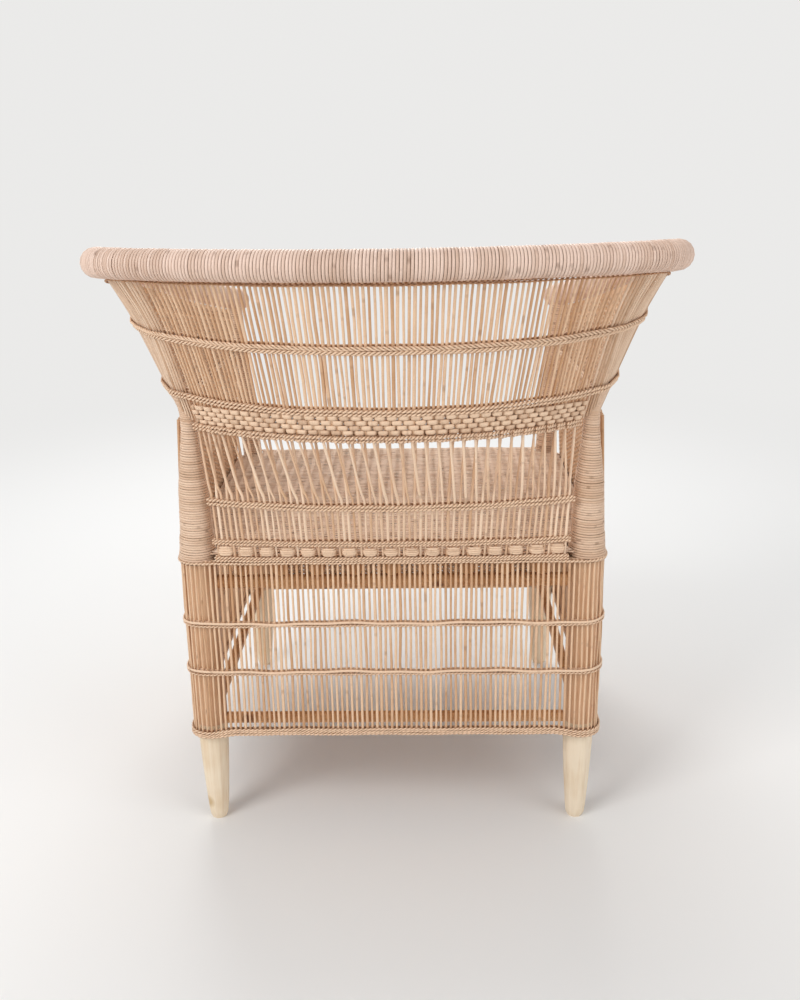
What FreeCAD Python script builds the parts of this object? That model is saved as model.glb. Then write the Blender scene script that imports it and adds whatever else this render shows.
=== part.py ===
import FreeCAD, Part
import math
import os

Vector = FreeCAD.Vector
up = Vector(0, 0, 1)

# Overall size, in mm. X is the width, -Y the front, Z is up and z = 0 is the floor.
overall_width = 790.0
overall_depth = 746.0
overall_height = 865.0

# Legs stand at these shares of the width and depth. The back leans over by a share of the depth.
leg_width_share = 0.6924
leg_depth_share = 0.69973
back_lean_share = 0.21448

# Heights as shares of the overall height.
foot_share = 0.1734
skirt_bottom_share = 0.178
skirt_row_shares = (0.3838, 0.296)
seat_rail_share = 0.4474
middle_twine_share = 0.5954
lattice_foot_share = 0.6012
lattice_low_share = 0.6243
waist_share = 0.7216
top_twine_share = 0.8562
arm_drop_share = 0.148

# The fat roll that runs round the top of the back and down the two arms.
roll_radius = 20.0
roll_sides = 12
roll_core_radius = 11.0
roll_core_sides = 6
roll_core_gap = 0.3
roll_end_dome = 14.0
roll_end_slant = 2.46
# Shares of the roll's radius at two stations of the dome that closes an arm.
dome_middle_share = 0.6
dome_shoulder_share = 0.86
dome_tip_share = 0.5
# Half of the roll's line in plan: shares of the half width, of the reach to the front,
# and of the drop from the back to the front end of an arm.
roll_line_shares = (
    (0.0, 0.0, 0.0),
    (0.3, 0.012, 0.0),
    (0.6, 0.045, 0.0),
    (0.82, 0.086, 0.002),
    (0.95, 0.131, 0.008),
    (1.0, 0.188, 0.035),
    (0.985, 0.27, 0.11),
    (0.952, 0.41, 0.27),
    (0.9, 0.6, 0.52),
    (0.838, 0.8, 0.77),
    (0.762, 1.0, 1.0),
)

# Legs: straight poles with a foot carved to a blunt point.
leg_radius = 22.5
leg_sides = 14
pole_sides = 12
# Shares of the foot's height and of the pole's radius.
foot_shares = ((0.0, 0.5), (0.035, 0.62), (0.11, 0.68), (0.45, 0.84), (0.8, 0.955), (1.0, 1.0))

# Rails and stretchers between the legs, and the sticks that carry the seat.
seat_rail_radius = 10.0
stretcher_radius = 8.5
stretcher_rise = 8.5
pole_joint_gap = 0.25
flat_tolerance = 0.0000001
slat_count = 9
slat_radius = 12.0
slat_sides = 8
slat_gap = 0.3
slat_overhang = 8.0
slat_spread_share = 0.78

# Seat of closed cane weave.
seat_slat_gap = 0.2
seat_thick = 18.5
seat_edge_gap = 1.0
seat_notch_radius = 28.0
seat_crown = 3.0
seat_crown_inset = 40.0

# Canes and the strands twined over them, seen in section.
skirt_cane = 4.5
skirt_pitch = 7.2
lower_cane = 4.6
upper_cane = 4.4
corner_cane_thick = 2.6
corner_cane_low = 2.5
corner_cane_middle = 3.2
corner_cane_high = 6.0
side_cane = 4.6
strand_gap = 0.3
twist_allowance = 0.25
strand_out = 1.8
strand_in = 1.6
twine_tall = 7.6
border_tall = 7.0

# Skirt of upright canes round the four legs, which ends just over the underside of the seat.
skirt_offset = 28.2
skirt_corner_span_count = 3
skirt_rise = 3.1
skirt_row_tall = 5.2
hem_rise = 5.5
hem_tall = 11.0
seam_rise = 1.0
seam_tall = 4.0
apron_thick = 2.5
apron_rise = 3.5
apron_drop = 0.5
apron_side_inset = 11.5

# Small steps up from the seam to the leg tops, the posts and the canes of the back.
leg_top_gap = 0.1
post_foot_gap = 0.3
lower_foot_gap = 0.4

# Lower part of the back, between the wound posts.
lower_cane_pair_count = 33
waist_gap = 1.3
low_edge_inset = 32.0
waist_edge_inset = 18.0
# Shares of the back's lean.
waist_edge_share = 0.075
waist_bulge_share = 0.4875
waist_bulge_power = 2.3
back_span_count = 10
pair_gap = 0.7
pair_end_share = 0.08
lattice_clearance = 1.3
block_low_rise = 4.4
block_rise = 16.6
block_up_rise = 28.8
block_count = 17
block_wide = 23.0
block_tall = 12.6
block_strand_tall = 6.4
basket_low_drop = 4.2
basket_rise = 13.8
basket_tall = 26.4
basket_up_rise = 32.2

# Upper part of the back and the corners, which fan out to the roll.
upper_back_cane_count = 90
straight_span_count = 3
corner_cane_count = 20
corner_wrap_radius = 14.0
corner_start_angle = 130.0
corner_arc_span_count = 4
corner_run_span_count = 4
corner_run_out = 2.5
corner_run = 66.0
# The corner canes start on top of the post, so their foot line steps up there.
corner_step = 25.8
corner_step_shares = (0.2, 0.5, 0.8, 1.0, 1.0, 0.5, 0.0, 0.0, 0.0)
# Rows over the waist climb toward the sides.
row_rise = 23.0
row_rise_power = 2.6
# At the top twine the canes sag inward by these shares, from the middle of the back to the side.
sag_depth = 12.0
sag_shares = (0.0, 0.0, 0.0, 0.0, 0.25, 0.75, 1.0, 1.0, 1.0, 1.0, 1.0, 0.75, 0.5, 0.25, 0.0)
sag_clearance = 0.5
cane_roll_gap = 0.65
# Places along half of the roll, as shares of its length.
back_reach_share = 0.307
corner_reach_share = 0.455
side_start_share = 0.458
side_end_share = 0.925

# Woven sides under the arms. Starts and ends are measured from the rear and the front posts.
side_span_count = 8
side_low_start = 17.0
side_low_end = 29.0
side_waist_start = 13.5
side_upper_start = 68.5
side_waist_end = 23.0
side_waist_swell = 12.0
side_sheet_thick = 1.8
side_sheet_rise = 2.6
side_waist_clear = 5.0
side_twine_rise = 4.6
side_upper_clear = 9.6
side_hole_height = 12.0

# Wound posts: the rear ones taper to the waist, the front ones carry the arms.
post_offset = 2.5
post_wrap_radius = 26.0
post_rise = 25.8
post_core_radius = 8.0
post_core_gap = 0.3
# Shares of the wrap's height and of its largest radius.
post_shares = (
    (0.0, 0.97),
    (0.055, 1.0),
    (0.13, 0.97),
    (0.155, 0.92),
    (0.46, 0.815),
    (0.7, 0.56),
    (0.83, 0.445),
    (1.0, 0.438),
)
arm_post_low_radius = 18.0
arm_post_high_radius = 14.0
arm_post_core = 9.0

os.makedirs("parts", exist_ok=True)

# Sizes that follow from the ones above: the plan.
leg_spacing_y = overall_depth * leg_depth_share
leg_x = overall_width * leg_width_share / 2
back_lean = overall_depth * back_lean_share
rear_y = overall_depth / 2 - roll_radius - back_lean
front_y = rear_y - leg_spacing_y
roll_half = overall_width / 2 - roll_radius
roll_back_y = rear_y + back_lean
roll_reach = roll_back_y + overall_depth / 2 - roll_end_slant
skirt_half = leg_x + skirt_offset
skirt_back = rear_y + skirt_offset
skirt_front = front_y - skirt_offset
post_x = leg_x + post_offset
lower_half_low = post_x - low_edge_inset
lower_half_waist = post_x - waist_edge_inset
apron_half_width = leg_x - apron_side_inset

# The heights, from the floor up.
foot_height = overall_height * foot_share
skirt_bottom = overall_height * skirt_bottom_share
hem_height = skirt_bottom + hem_rise
apron_bottom = hem_height + apron_rise
stretcher_height = hem_height + stretcher_rise
skirt_row_heights = [overall_height * share for share in skirt_row_shares]
seat_rail_height = overall_height * seat_rail_share
slat_height = seat_rail_height + seat_rail_radius + slat_gap + slat_radius
seat_bottom = slat_height + slat_radius + seat_slat_gap
seat_top = seat_bottom + seat_thick
apron_top = seat_bottom - apron_drop
skirt_top = seat_bottom + skirt_rise
seam_height = skirt_top + seam_rise
leg_top = seam_height + seam_tall / 2 + leg_top_gap
post_bottom = leg_top + post_foot_gap
lower_bottom = post_bottom + lower_foot_gap
side_sheet_low = lower_bottom + side_sheet_rise
block_low_height = lower_bottom + block_low_rise
block_height = lower_bottom + block_rise
block_up_height = lower_bottom + block_up_rise
middle_height = overall_height * middle_twine_share
lattice_foot = overall_height * lattice_foot_share
lattice_low = overall_height * lattice_low_share
waist_height = overall_height * waist_share
basket_low_height = waist_height - basket_low_drop
basket_height = waist_height + basket_rise
basket_up_height = waist_height + basket_up_rise
post_top = waist_height + post_rise
top_twine_height = overall_height * top_twine_share
roll_height = overall_height - roll_radius
arm_drop = overall_height * arm_drop_share


def save(name, solids):
    shape = solids[0] if len(solids) == 1 else Part.makeCompound(solids)
    shape.exportStep("parts/" + name + ".step")


def mirrored(shape):
    return shape.mirror(Vector(0, 0, 0), Vector(1, 0, 0))


def mirrored_point(point):
    return Vector(-point.x, point.y, point.z)


def between(first, second, share):
    return first + (second - first) * share


def lengths_of(points):
    total = [0.0]
    for first, second in zip(points, points[1:]):
        total.append(total[-1] + (second - first).Length)
    return total


def point_along(points, distance):
    total = lengths_of(points)
    index = 0
    while index < len(points) - 2 and total[index + 1] < distance:
        index += 1
    return between(
        points[index], points[index + 1], (distance - total[index]) / (total[index + 1] - total[index])
    )


def position_along(points, distance):
    total = lengths_of(points)
    index = 0
    while index < len(points) - 2 and total[index + 1] < distance:
        index += 1
    return index + (distance - total[index]) / (total[index + 1] - total[index])


def ring_points(centre, across, along, radius, sides):
    points = []
    for index in range(sides):
        angle = 2 * math.pi * index / sides
        points.append(centre + across * (radius * math.cos(angle)) + along * (radius * math.sin(angle)))
    return points


def closed_wire(points):
    return Part.makePolygon(list(points) + [points[0]])


def flat_faces(corners):
    # One flat face, or two triangles across the shorter diagonal where the corners are out of plane.
    first, second, third, fourth = corners
    normal = (third - first).cross(fourth - second).normalize()
    if abs((second - first).dot(normal)) < flat_tolerance:
        return [Part.Face(closed_wire(corners))]
    if (third - first).Length > (fourth - second).Length:
        first, second, third, fourth = second, third, fourth, first
    return [Part.Face(closed_wire([first, second, third])), Part.Face(closed_wire([first, third, fourth]))]


def ruled_solid(sections):
    # A loft of flat facets through sections that have the same number of corners.
    faces = [Part.Face(closed_wire(sections[0])), Part.Face(closed_wire(sections[-1]))]
    for low, high in zip(sections, sections[1:]):
        for index in range(len(low)):
            faces += flat_faces([low[index - 1], low[index], high[index], high[index - 1]])
    solid = Part.Solid(Part.Shell(faces))
    if solid.Volume < 0:
        solid.reverse()
    return solid


def square_section(centre, axis, outward, wide, thick):
    side = axis.cross(outward).normalize()
    face = side.cross(axis).normalize()
    return [
        centre + side * (wide / 2) + face * (thick / 2),
        centre - side * (wide / 2) + face * (thick / 2),
        centre - side * (wide / 2) - face * (thick / 2),
        centre + side * (wide / 2) - face * (thick / 2),
    ]


def peaked_cane(start, end, outward, size):
    # A slim upright with a ridge on its outer face.
    near_left, near_right, far_right, far_left = square_section(start, end - start, outward, size, size)
    ridge = between(near_left, near_right, 0.5)
    return Part.Face(closed_wire([ridge, far_right, far_left])).extrude(end - start)


def cane(start, end, outward, size):
    run = end - start
    return Part.Face(closed_wire(square_section(start, run, outward, size, size))).extrude(run)


def rung(zone, position):
    low, high = zone
    index = min(int(position), len(low) - 2)
    share = position - index
    return between(low[index], low[index + 1], share), between(high[index], high[index + 1], share)


def facet_out(zone, position):
    low, high = zone
    index = min(int(position), len(low) - 2)
    foot, head = rung(zone, position)
    chord = low[index + 1] - low[index] + high[index + 1] - high[index]
    return (head - foot).cross(chord).normalize()


def surface_out(zone, position, height):
    # Outward direction of a zone's surface at one height.
    low, high = zone
    index = min(int(position), len(low) - 2)
    foot, head = rung(zone, position)
    share = (height - foot.z) / (head.z - foot.z)
    chord = between(low[index + 1] - low[index], high[index + 1] - high[index], share)
    return (head - foot).cross(chord).normalize()


def at_height(foot, head, height):
    return between(foot, head, (height - foot.z) / (head.z - foot.z))


def mitred(points, leans):
    # The outward direction at each point, lengthened so that an offset line stays parallel.
    facets = []
    for index in range(len(points) - 1):
        chord = points[index + 1] - points[index]
        facets.append((leans[index] + leans[index + 1]).cross(chord).normalize())
    directions = [facets[0]]
    for first, second in zip(facets, facets[1:]):
        directions.append((first + second) * (1 / (1 + first.dot(second))))
    directions.append(facets[-1])
    return directions


def zone_line(zone, heights):
    points = []
    leans = []
    for index in range(len(zone[0])):
        foot, head = zone[0][index], zone[1][index]
        points.append(at_height(foot, head, heights[index]))
        leans.append((head - foot).normalize())
    return points, leans


def strip(points, leans, near, far, tall):
    outs = mitred(points, leans)
    sections = []
    for point, lean, out in zip(points, leans, outs):
        sections.append(
            [
                point + out * near - lean * (tall / 2),
                point + out * far - lean * (tall / 2),
                point + out * far + lean * (tall / 2),
                point + out * near + lean * (tall / 2),
            ]
        )
    return ruled_solid(sections)


def strand_pair(zone, heights, half_cane, tall):
    points, leans = zone_line(zone, heights)
    outer = strip(points, leans, half_cane + strand_gap, half_cane + strand_gap + strand_out, tall)
    inner = strip(points, leans, -half_cane - strand_gap - strand_in, -half_cane - strand_gap, tall)
    return [outer, inner]


def round_section(centre, radius, sides):
    return ring_points(centre, Vector(1, 0, 0), Vector(0, 1, 0), radius, sides)


def pole(start, end, radius):
    run = end - start
    across = run.cross(up if abs(run.z) < abs(run.x) + abs(run.y) else Vector(0, 1, 0)).normalize()
    along = across.cross(run).normalize()
    return Part.Face(closed_wire(ring_points(start, across, along, radius, pole_sides))).extrude(run)


def make_leg(x_side, y_side):
    centre_y = rear_y if y_side > 0 else front_y
    sections = []
    for height_share, radius_share in foot_shares:
        centre = Vector(x_side * leg_x, centre_y, height_share * foot_height)
        sections.append(round_section(centre, leg_radius * radius_share, leg_sides))
    sections.append(round_section(Vector(x_side * leg_x, centre_y, leg_top), leg_radius, leg_sides))
    return ruled_solid(sections)


def frame_pole(start, end, radius):
    # A pole that runs from the side of one leg to the side of the next.
    setback = (end - start).normalize() * (leg_radius + pole_joint_gap)
    return pole(start + setback, end - setback, radius)


# Legs.
for y_name, y_side in (("rear", 1), ("front", -1)):
    save(y_name + "_leg_left", [make_leg(1, y_side)])
    save(y_name + "_leg_right", [make_leg(-1, y_side)])

# Rails under the seat and stretchers above the feet.
for kind, radius, height in (
    ("seat_rail", seat_rail_radius, seat_rail_height),
    ("stretcher", stretcher_radius, stretcher_height),
):
    left_rear, left_front = Vector(leg_x, rear_y, height), Vector(leg_x, front_y, height)
    right_rear, right_front = mirrored_point(left_rear), mirrored_point(left_front)
    save(kind + "_rear", [frame_pole(right_rear, left_rear, radius)])
    save(kind + "_front", [frame_pole(right_front, left_front, radius)])
    save(kind + "_left", [frame_pole(left_front, left_rear, radius)])
    save(kind + "_right", [frame_pole(right_front, right_rear, radius)])

# Sticks across the seat rails.
slat_run = Vector(0, leg_spacing_y + 2 * slat_overhang, 0)
slats = []
for index in range(slat_count):
    share = 2 * index / (slat_count - 1) - 1
    start = Vector(share * slat_spread_share * leg_x, front_y - slat_overhang, slat_height)
    profile = ring_points(start, Vector(1, 0, 0), up, slat_radius, slat_sides)
    slats.append(Part.Face(closed_wire(profile)).extrude(slat_run))
save("seat_slats", slats)

# Skirt path: straight runs with rounded corners about the leg axes.


def skirt_path(offset):
    points = []
    for x_side, y_side, start in ((-1, 1, 180.0), (1, 1, 90.0), (1, -1, 0.0), (-1, -1, -90.0)):
        centre = Vector(x_side * leg_x, rear_y if y_side > 0 else front_y, 0)
        for index in range(skirt_corner_span_count + 1):
            angle = math.radians(start - 90.0 * index / skirt_corner_span_count)
            reach = skirt_offset
            points.append(centre + Vector(math.cos(angle) * reach, math.sin(angle) * reach, 0))
    closed = points[-1:] + points + points[:1]
    outs = mitred(closed, [up] * len(closed))[1:-1]
    return [point + out * offset for point, out in zip(points, outs)]


def skirt_ring(near, far, height, tall):
    bottom = Vector(0, 0, height - tall / 2)
    outer = closed_wire([point + bottom for point in skirt_path(far)])
    inner = closed_wire([point + bottom for point in skirt_path(near)])
    return Part.Face([outer, inner]).extrude(Vector(0, 0, tall))


def skirt_pair(height, tall):
    half = skirt_cane / 2
    outer = skirt_ring(half + strand_gap, half + strand_gap + strand_out, height, tall)
    inner = skirt_ring(-half - strand_gap - strand_in, -half - strand_gap, height, tall)
    return [outer, inner]


skirt_line = skirt_path(0)
skirt_closed = skirt_line + skirt_line[:1]
skirt_length = lengths_of(skirt_closed)[-1]
skirt_count = int(round(skirt_length / skirt_pitch))
skirt_groups = {"rear": [], "front": [], "left": [], "right": []}
for index in range(skirt_count):
    distance = skirt_length * (index + 0.5) / skirt_count
    spot = point_along(skirt_closed, distance)
    knot = int(position_along(skirt_closed, distance))
    chord = skirt_closed[knot + 1] - skirt_closed[knot]
    outward = up.cross(chord).normalize()
    foot = Vector(spot.x, spot.y, skirt_bottom)
    head = Vector(spot.x, spot.y, skirt_top)
    if spot.y > rear_y:
        group = "rear"
    elif spot.y < front_y:
        group = "front"
    else:
        group = "left" if spot.x > 0 else "right"
    skirt_groups[group].append(peaked_cane(foot, head, outward, skirt_cane))
for group, canes in skirt_groups.items():
    save("skirt_canes_" + group, canes)
for name, height in zip(("skirt_upper_twine", "skirt_lower_twine"), skirt_row_heights):
    save(name, skirt_pair(height, skirt_row_tall))
save("skirt_hem", skirt_pair(hem_height, hem_tall))
save("seam_strand", skirt_pair(seam_height, seam_tall))

# Closed panel behind the front canes.
strand_inside = skirt_cane / 2 + 2 * strand_gap + strand_in
apron_y = skirt_front + strand_inside
apron_corner = Vector(-apron_half_width, apron_y, apron_bottom)
apron = Part.makeBox(2 * apron_half_width, apron_thick, apron_top - apron_bottom, apron_corner)
save("front_apron_weave", [apron])

# Seat, notched round the posts, with a low crown.
edge = skirt_cane / 2 + strand_gap + strand_in + seat_edge_gap
seat_x = skirt_half - edge
seat_back = skirt_back - edge
seat_front = skirt_front + edge


def seat_outline(inset, height):
    return [
        Vector(seat_x - inset, seat_back - inset, height),
        Vector(-seat_x + inset, seat_back - inset, height),
        Vector(-seat_x + inset, seat_front + inset, height),
        Vector(seat_x - inset, seat_front + inset, height),
    ]


seat_shoulder = seat_top - seat_crown
seat = ruled_solid([seat_outline(0, seat_bottom), seat_outline(0, seat_shoulder)])
seat = seat.fuse(ruled_solid([seat_outline(0, seat_shoulder), seat_outline(seat_crown_inset, seat_top)]))
for x_side in (1, -1):
    for corner_y in (rear_y, front_y):
        notch_foot = Vector(x_side * post_x, corner_y, 0)
        notch = pole(notch_foot, notch_foot + up * overall_height, seat_notch_radius)
        seat = seat.cut(notch)
seat = seat.removeSplitter()
save("seat_weave", [max(seat.Solids, key=lambda solid: solid.Volume)])

# Line of the roll, sampled at the knots that the canes also use.
line_points = []
for x_share, y_share, z_share in roll_line_shares:
    line_points.append(
        Vector(x_share * roll_half, roll_back_y - y_share * roll_reach, roll_height - z_share * arm_drop)
    )
curve = Part.BSplineCurve()
curve.interpolate(Points=[mirrored_point(point) for point in line_points[:0:-1]] + line_points)
curve_edge = curve.toShape()
half_length = curve_edge.Length / 2


def roll_curve_point(distance):
    return curve_edge.valueAt(curve_edge.getParameterByLength(half_length + distance))


# Half of the waist line: the back, round the post, then a short run along the side.
back_waist = []
for index in range(back_span_count // 2 + 1):
    share = 2 * index / back_span_count
    bulge = back_lean * (waist_edge_share + waist_bulge_share * (1 - share ** waist_bulge_power))
    back_waist.append(Vector(share * lower_half_waist, rear_y + bulge, waist_height))
corner_waist = []
for index in range(corner_arc_span_count + 1):
    angle = math.radians(corner_start_angle * (1 - index / corner_arc_span_count))
    corner_x = post_x + corner_wrap_radius * math.cos(angle)
    corner_y = rear_y + corner_wrap_radius * math.sin(angle)
    corner_waist.append(Vector(corner_x, corner_y, waist_height))
for index in range(corner_run_span_count):
    share = (index + 1) / corner_run_span_count
    corner_x = post_x + corner_wrap_radius + share * corner_run_out
    corner_waist.append(Vector(corner_x, rear_y - share * corner_run, waist_height))
corner_waist = [point + up * (corner_step * share) for point, share in zip(corner_waist, corner_step_shares)]
half_waist = back_waist + corner_waist
waist_lengths = lengths_of(half_waist)
back_length = waist_lengths[len(back_waist) - 1]
roll_distances = []
for length in waist_lengths:
    if length <= back_length:
        roll_distances.append(half_length * back_reach_share * length / back_length)
    else:
        share = (length - back_length) / (waist_lengths[-1] - back_length)
        reach_share = back_reach_share + share * (corner_reach_share - back_reach_share)
        roll_distances.append(half_length * reach_share)
side_distances = []
for index in range(side_span_count + 1):
    reach_share = side_start_share + (side_end_share - side_start_share) * index / side_span_count
    side_distances.append(half_length * reach_share)

# Knots of the roll: every back knot, four in the corner, the side knots and the end.
first_pick = len(back_waist) + 1
last_pick = len(back_waist) + corner_arc_span_count
corner_picks = [first_pick, last_pick, last_pick + 1, last_pick + 2]
roll_knots = roll_distances[: len(back_waist)]
roll_knots += [roll_distances[pick] for pick in corner_picks]
roll_knots += roll_distances[-1:] + side_distances[1:] + [half_length - roll_end_dome]
half_roll = [roll_curve_point(distance) for distance in roll_knots]
stretch = roll_half / max(point.x for point in half_roll)
half_roll = [Vector(point.x * stretch, point.y, point.z) for point in half_roll]
roll_tip = roll_curve_point(half_length)


def roll_point(distance):
    # Point of the faceted roll line at a distance of the smooth one.
    index = 0
    while index < len(roll_knots) - 2 and roll_knots[index + 1] < distance:
        index += 1
    share = (distance - roll_knots[index]) / (roll_knots[index + 1] - roll_knots[index])
    return between(half_roll[index], half_roll[index + 1], share)


def roll_sections(points, directions, radius, sides):
    sections = []
    for point, direction in zip(points, directions):
        across = direction.cross(up).normalize()
        along = across.cross(direction).normalize()
        sections.append(ring_points(point, across, along, radius, sides))
    return sections


def line_directions(points):
    chords = [(second - first).normalize() for first, second in zip(points, points[1:])]
    middle = [(first + second).normalize() for first, second in zip(chords, chords[1:])]
    return [chords[0]] + middle + [chords[-1]]


left_directions = line_directions([mirrored_point(half_roll[1])] + half_roll)[1:]
joint = len(back_waist) + len(corner_picks)
arm_points = half_roll[joint:]
arm_directions = left_directions[joint:]
joint_shift = arm_directions[0] * (roll_core_gap / 2)
arm_points = [arm_points[0] + joint_shift] + arm_points[1:]
back_points = half_roll[:joint] + [half_roll[joint] - joint_shift]
back_directions = left_directions[: joint + 1]
full_points = [mirrored_point(point) for point in back_points[:0:-1]] + back_points
flipped = [Vector(item.x, -item.y, -item.z) for item in back_directions[:0:-1]]
full_directions = flipped + back_directions

top_wrap = ruled_solid(roll_sections(full_points, full_directions, roll_radius, roll_sides))
top_core = ruled_solid(roll_sections(full_points, full_directions, roll_core_radius, roll_core_sides))
bore_radius = roll_core_radius + roll_core_gap
top_bore = ruled_solid(roll_sections(full_points, full_directions, bore_radius, roll_core_sides))
save("top_rail", [top_core])
save("top_roll_wrap", [top_wrap.cut(top_bore).Solids[0]])

# The arm roll closes in a dome at its front end, so its core stops inside it.
dome_points = arm_points + [between(arm_points[-1], roll_tip, dome_middle_share), roll_tip]
dome_directions = line_directions(dome_points)
dome_directions[0] = arm_directions[0]
dome_sections = roll_sections(dome_points, dome_directions, roll_radius, roll_sides)
shoulder = roll_radius * dome_shoulder_share
dome_sections[-2] = roll_sections(dome_points[-2:-1], dome_directions[-2:-1], shoulder, roll_sides)[0]
tip = roll_radius * dome_tip_share
dome_sections[-1] = roll_sections(dome_points[-1:], dome_directions[-1:], tip, roll_sides)[0]
arm_wrap = ruled_solid(dome_sections)
arm_core = ruled_solid(roll_sections(arm_points, arm_directions, roll_core_radius, roll_core_sides))
core_end = arm_points[:-1] + [arm_points[-1] + arm_directions[-1] * roll_core_gap]
arm_bore = ruled_solid(roll_sections(core_end, arm_directions, bore_radius, roll_core_sides))
arm_sleeve = arm_wrap.cut(arm_bore).Solids[0]
save("arm_rail_left", [arm_core])
save("arm_rail_right", [mirrored(arm_core)])
save("arm_roll_wrap_left", [arm_sleeve])
save("arm_roll_wrap_right", [mirrored(arm_sleeve)])

# Zones of canes. Each has a low line and a high line with matching knots, from right to left.
half_low = []
for point in back_waist:
    half_low.append(Vector(point.x * lower_half_low / lower_half_waist, skirt_back, lower_bottom))


def both_sides(half):
    return [mirrored_point(point) for point in half[:0:-1]] + half


lower_zone = (both_sides(half_low), both_sides(back_waist))
half_top = [roll_point(distance) for distance in roll_distances]

# Above the waist each cane bends inward a little at the top twine. The fan zone is below that
# bend and the crown zone above it.
climbs = [row_rise * (length / waist_lengths[-1]) ** row_rise_power for length in waist_lengths]
half_straight = []
for foot, head, climb in zip(half_waist, half_top, climbs):
    half_straight.append(at_height(foot, head, top_twine_height + climb))
half_sag = half_straight[:1]
for index in range(1, len(half_straight)):
    ahead = half_straight[min(index + 1, len(half_straight) - 1)]
    outward = up.cross(ahead - half_straight[index - 1]).normalize()
    half_sag.append(half_straight[index] - outward * (sag_depth * sag_shares[index]))
fan_zone = (both_sides(half_waist), both_sides(half_sag))
crown_zone = (both_sides(half_sag), both_sides(half_top))

# Lower back canes: in pairs at the waist, where one of each pair crosses over the other.
lower_spans = len(lower_zone[0]) - 1
slots = 2 * lower_cane_pair_count
waist_length = lengths_of(lower_zone[1])[-1]
pair_share = (lower_cane + pair_gap) / 2 * slots / waist_length
layer = (lower_cane + lattice_clearance) / 2
# Each cane has a slot at the foot, a slot at the waist, the slot where it meets its partner,
# and a layer: -1 inside, 1 outside.
members = []
for pair in range(lower_cane_pair_count):
    members.append((2 * pair + 0.5, 2 * pair + 1 - pair_share, 2 * pair + 0.5, -1))
    outer_head = min(2 * pair + 3 + pair_share, slots + pair_end_share)
    members.append((2 * pair + 1.5, outer_head, min(2 * pair + 2.5, slots), 1))
lower_canes = []
for foot_slot, head_slot, meeting_slot, side in members:
    foot_position = lower_spans * foot_slot / slots
    head_position = position_along(lower_zone[1], waist_length * head_slot / slots)
    meeting = position_along(lower_zone[1], waist_length * meeting_slot / slots)
    foot, foot_head = rung(lower_zone, foot_position)
    head = rung(lower_zone, head_position)[1]
    middle = at_height(foot, foot_head, lattice_foot)
    stations = [foot, middle]
    outs = [surface_out(lower_zone, foot_position, height) for height in (lower_bottom, lattice_foot)]
    for height in (lattice_low, waist_height - waist_gap):
        outs.append(surface_out(lower_zone, meeting, height))
        stations.append(at_height(middle, head, height) + outs[-1] * (layer * side))
    axis = (stations[-1] - foot).normalize()
    sections = []
    for station, outward in zip(stations, outs):
        sections.append(square_section(station, axis, outward, lower_cane, lower_cane))
    lower_canes.append(ruled_solid(sections))
save("lower_back_canes", lower_canes)

# Upper back canes and the flat corner canes, which all meet the roll.


def below_roll(zone, position, half_wide):
    # Stop short of the roll, also where a cane meets it at a slant.
    foot, head = rung(zone, position)
    index = min(int(position), len(zone[1]) - 2)
    chord = (zone[1][index + 1] - zone[1][index]).normalize()
    run = (head - foot).normalize()
    slope = abs(run.dot(chord))
    return head - run * ((roll_radius + cane_roll_gap + half_wide * slope) / math.sqrt(1 - slope ** 2))


roll_line = full_points + arm_points[1:]


def roll_distance(point):
    # How far a point lies from the middle line of the roll.
    nearest = overall_width
    for first, second in zip(roll_line, roll_line[1:]):
        run = second - first
        share = max(0, min(1, (point - first).dot(run) / run.dot(run)))
        nearest = min(nearest, (point - between(first, second, share)).Length)
    return nearest


def bent_cane(position, wides, thick):
    # A cane from the waist to the roll, with one bend at the top twine.
    foot, knee = rung(fan_zone, position)
    head = below_roll(crown_zone, position, wides[-1] / 2)
    start = foot + (knee - foot).normalize() * waist_gap
    low_out = facet_out(fan_zone, position)
    high_out = facet_out(crown_zone, position)
    # Near a bend of the roll the corners of the head need a little more room.
    corners = square_section(head, head - knee, high_out, wides[-1], thick)
    shortfall = roll_radius + cane_roll_gap - min(roll_distance(corner) for corner in corners)
    head -= (head - knee).normalize() * shortfall
    stations = [start, knee, head]
    axes = [knee - foot, (knee - foot).normalize() + (head - knee).normalize(), head - knee]
    outs = [low_out, low_out + high_out, high_out]
    sections = []
    for station, axis, outward, wide in zip(stations, axes, outs, wides):
        sections.append(square_section(station, axis, outward, wide, thick))
    return ruled_solid(sections)


half_waist_length = waist_lengths[-1]
upper_line = fan_zone[0]
upper_middle = len(half_waist) - 1
corner_length = half_waist_length - back_length
upper_canes = []
for index in range(upper_back_cane_count):
    distance = corner_length + 2 * back_length * (index + 0.5) / upper_back_cane_count
    position = position_along(upper_line, distance)
    if abs(position - upper_middle) < straight_span_count:
        foot, knee = rung(fan_zone, position)
        start = foot + (knee - foot).normalize() * waist_gap
        end = below_roll(crown_zone, position, upper_cane / 2)
        upper_canes.append(cane(start, end, facet_out(fan_zone, position), upper_cane))
    else:
        upper_canes.append(bent_cane(position, (upper_cane, upper_cane, upper_cane), upper_cane))
save("upper_back_canes", upper_canes)

corner_wides = (corner_cane_low, corner_cane_middle, corner_cane_high)
corner_group = []
for index in range(corner_cane_count):
    distance = half_waist_length + back_length + corner_length * (index + 1) / (corner_cane_count + 0.5)
    position = position_along(upper_line, distance)
    corner_group.append(bent_cane(position, corner_wides, corner_cane_thick))
save("corner_canes_left", corner_group)
save("corner_canes_right", [mirrored(solid) for solid in corner_group])

# Twined rows and bands across the back.


def level(zone, height):
    return [height] * len(zone[0])


def rising(height):
    return [height + climb for climb in climbs[:0:-1] + climbs]


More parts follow.
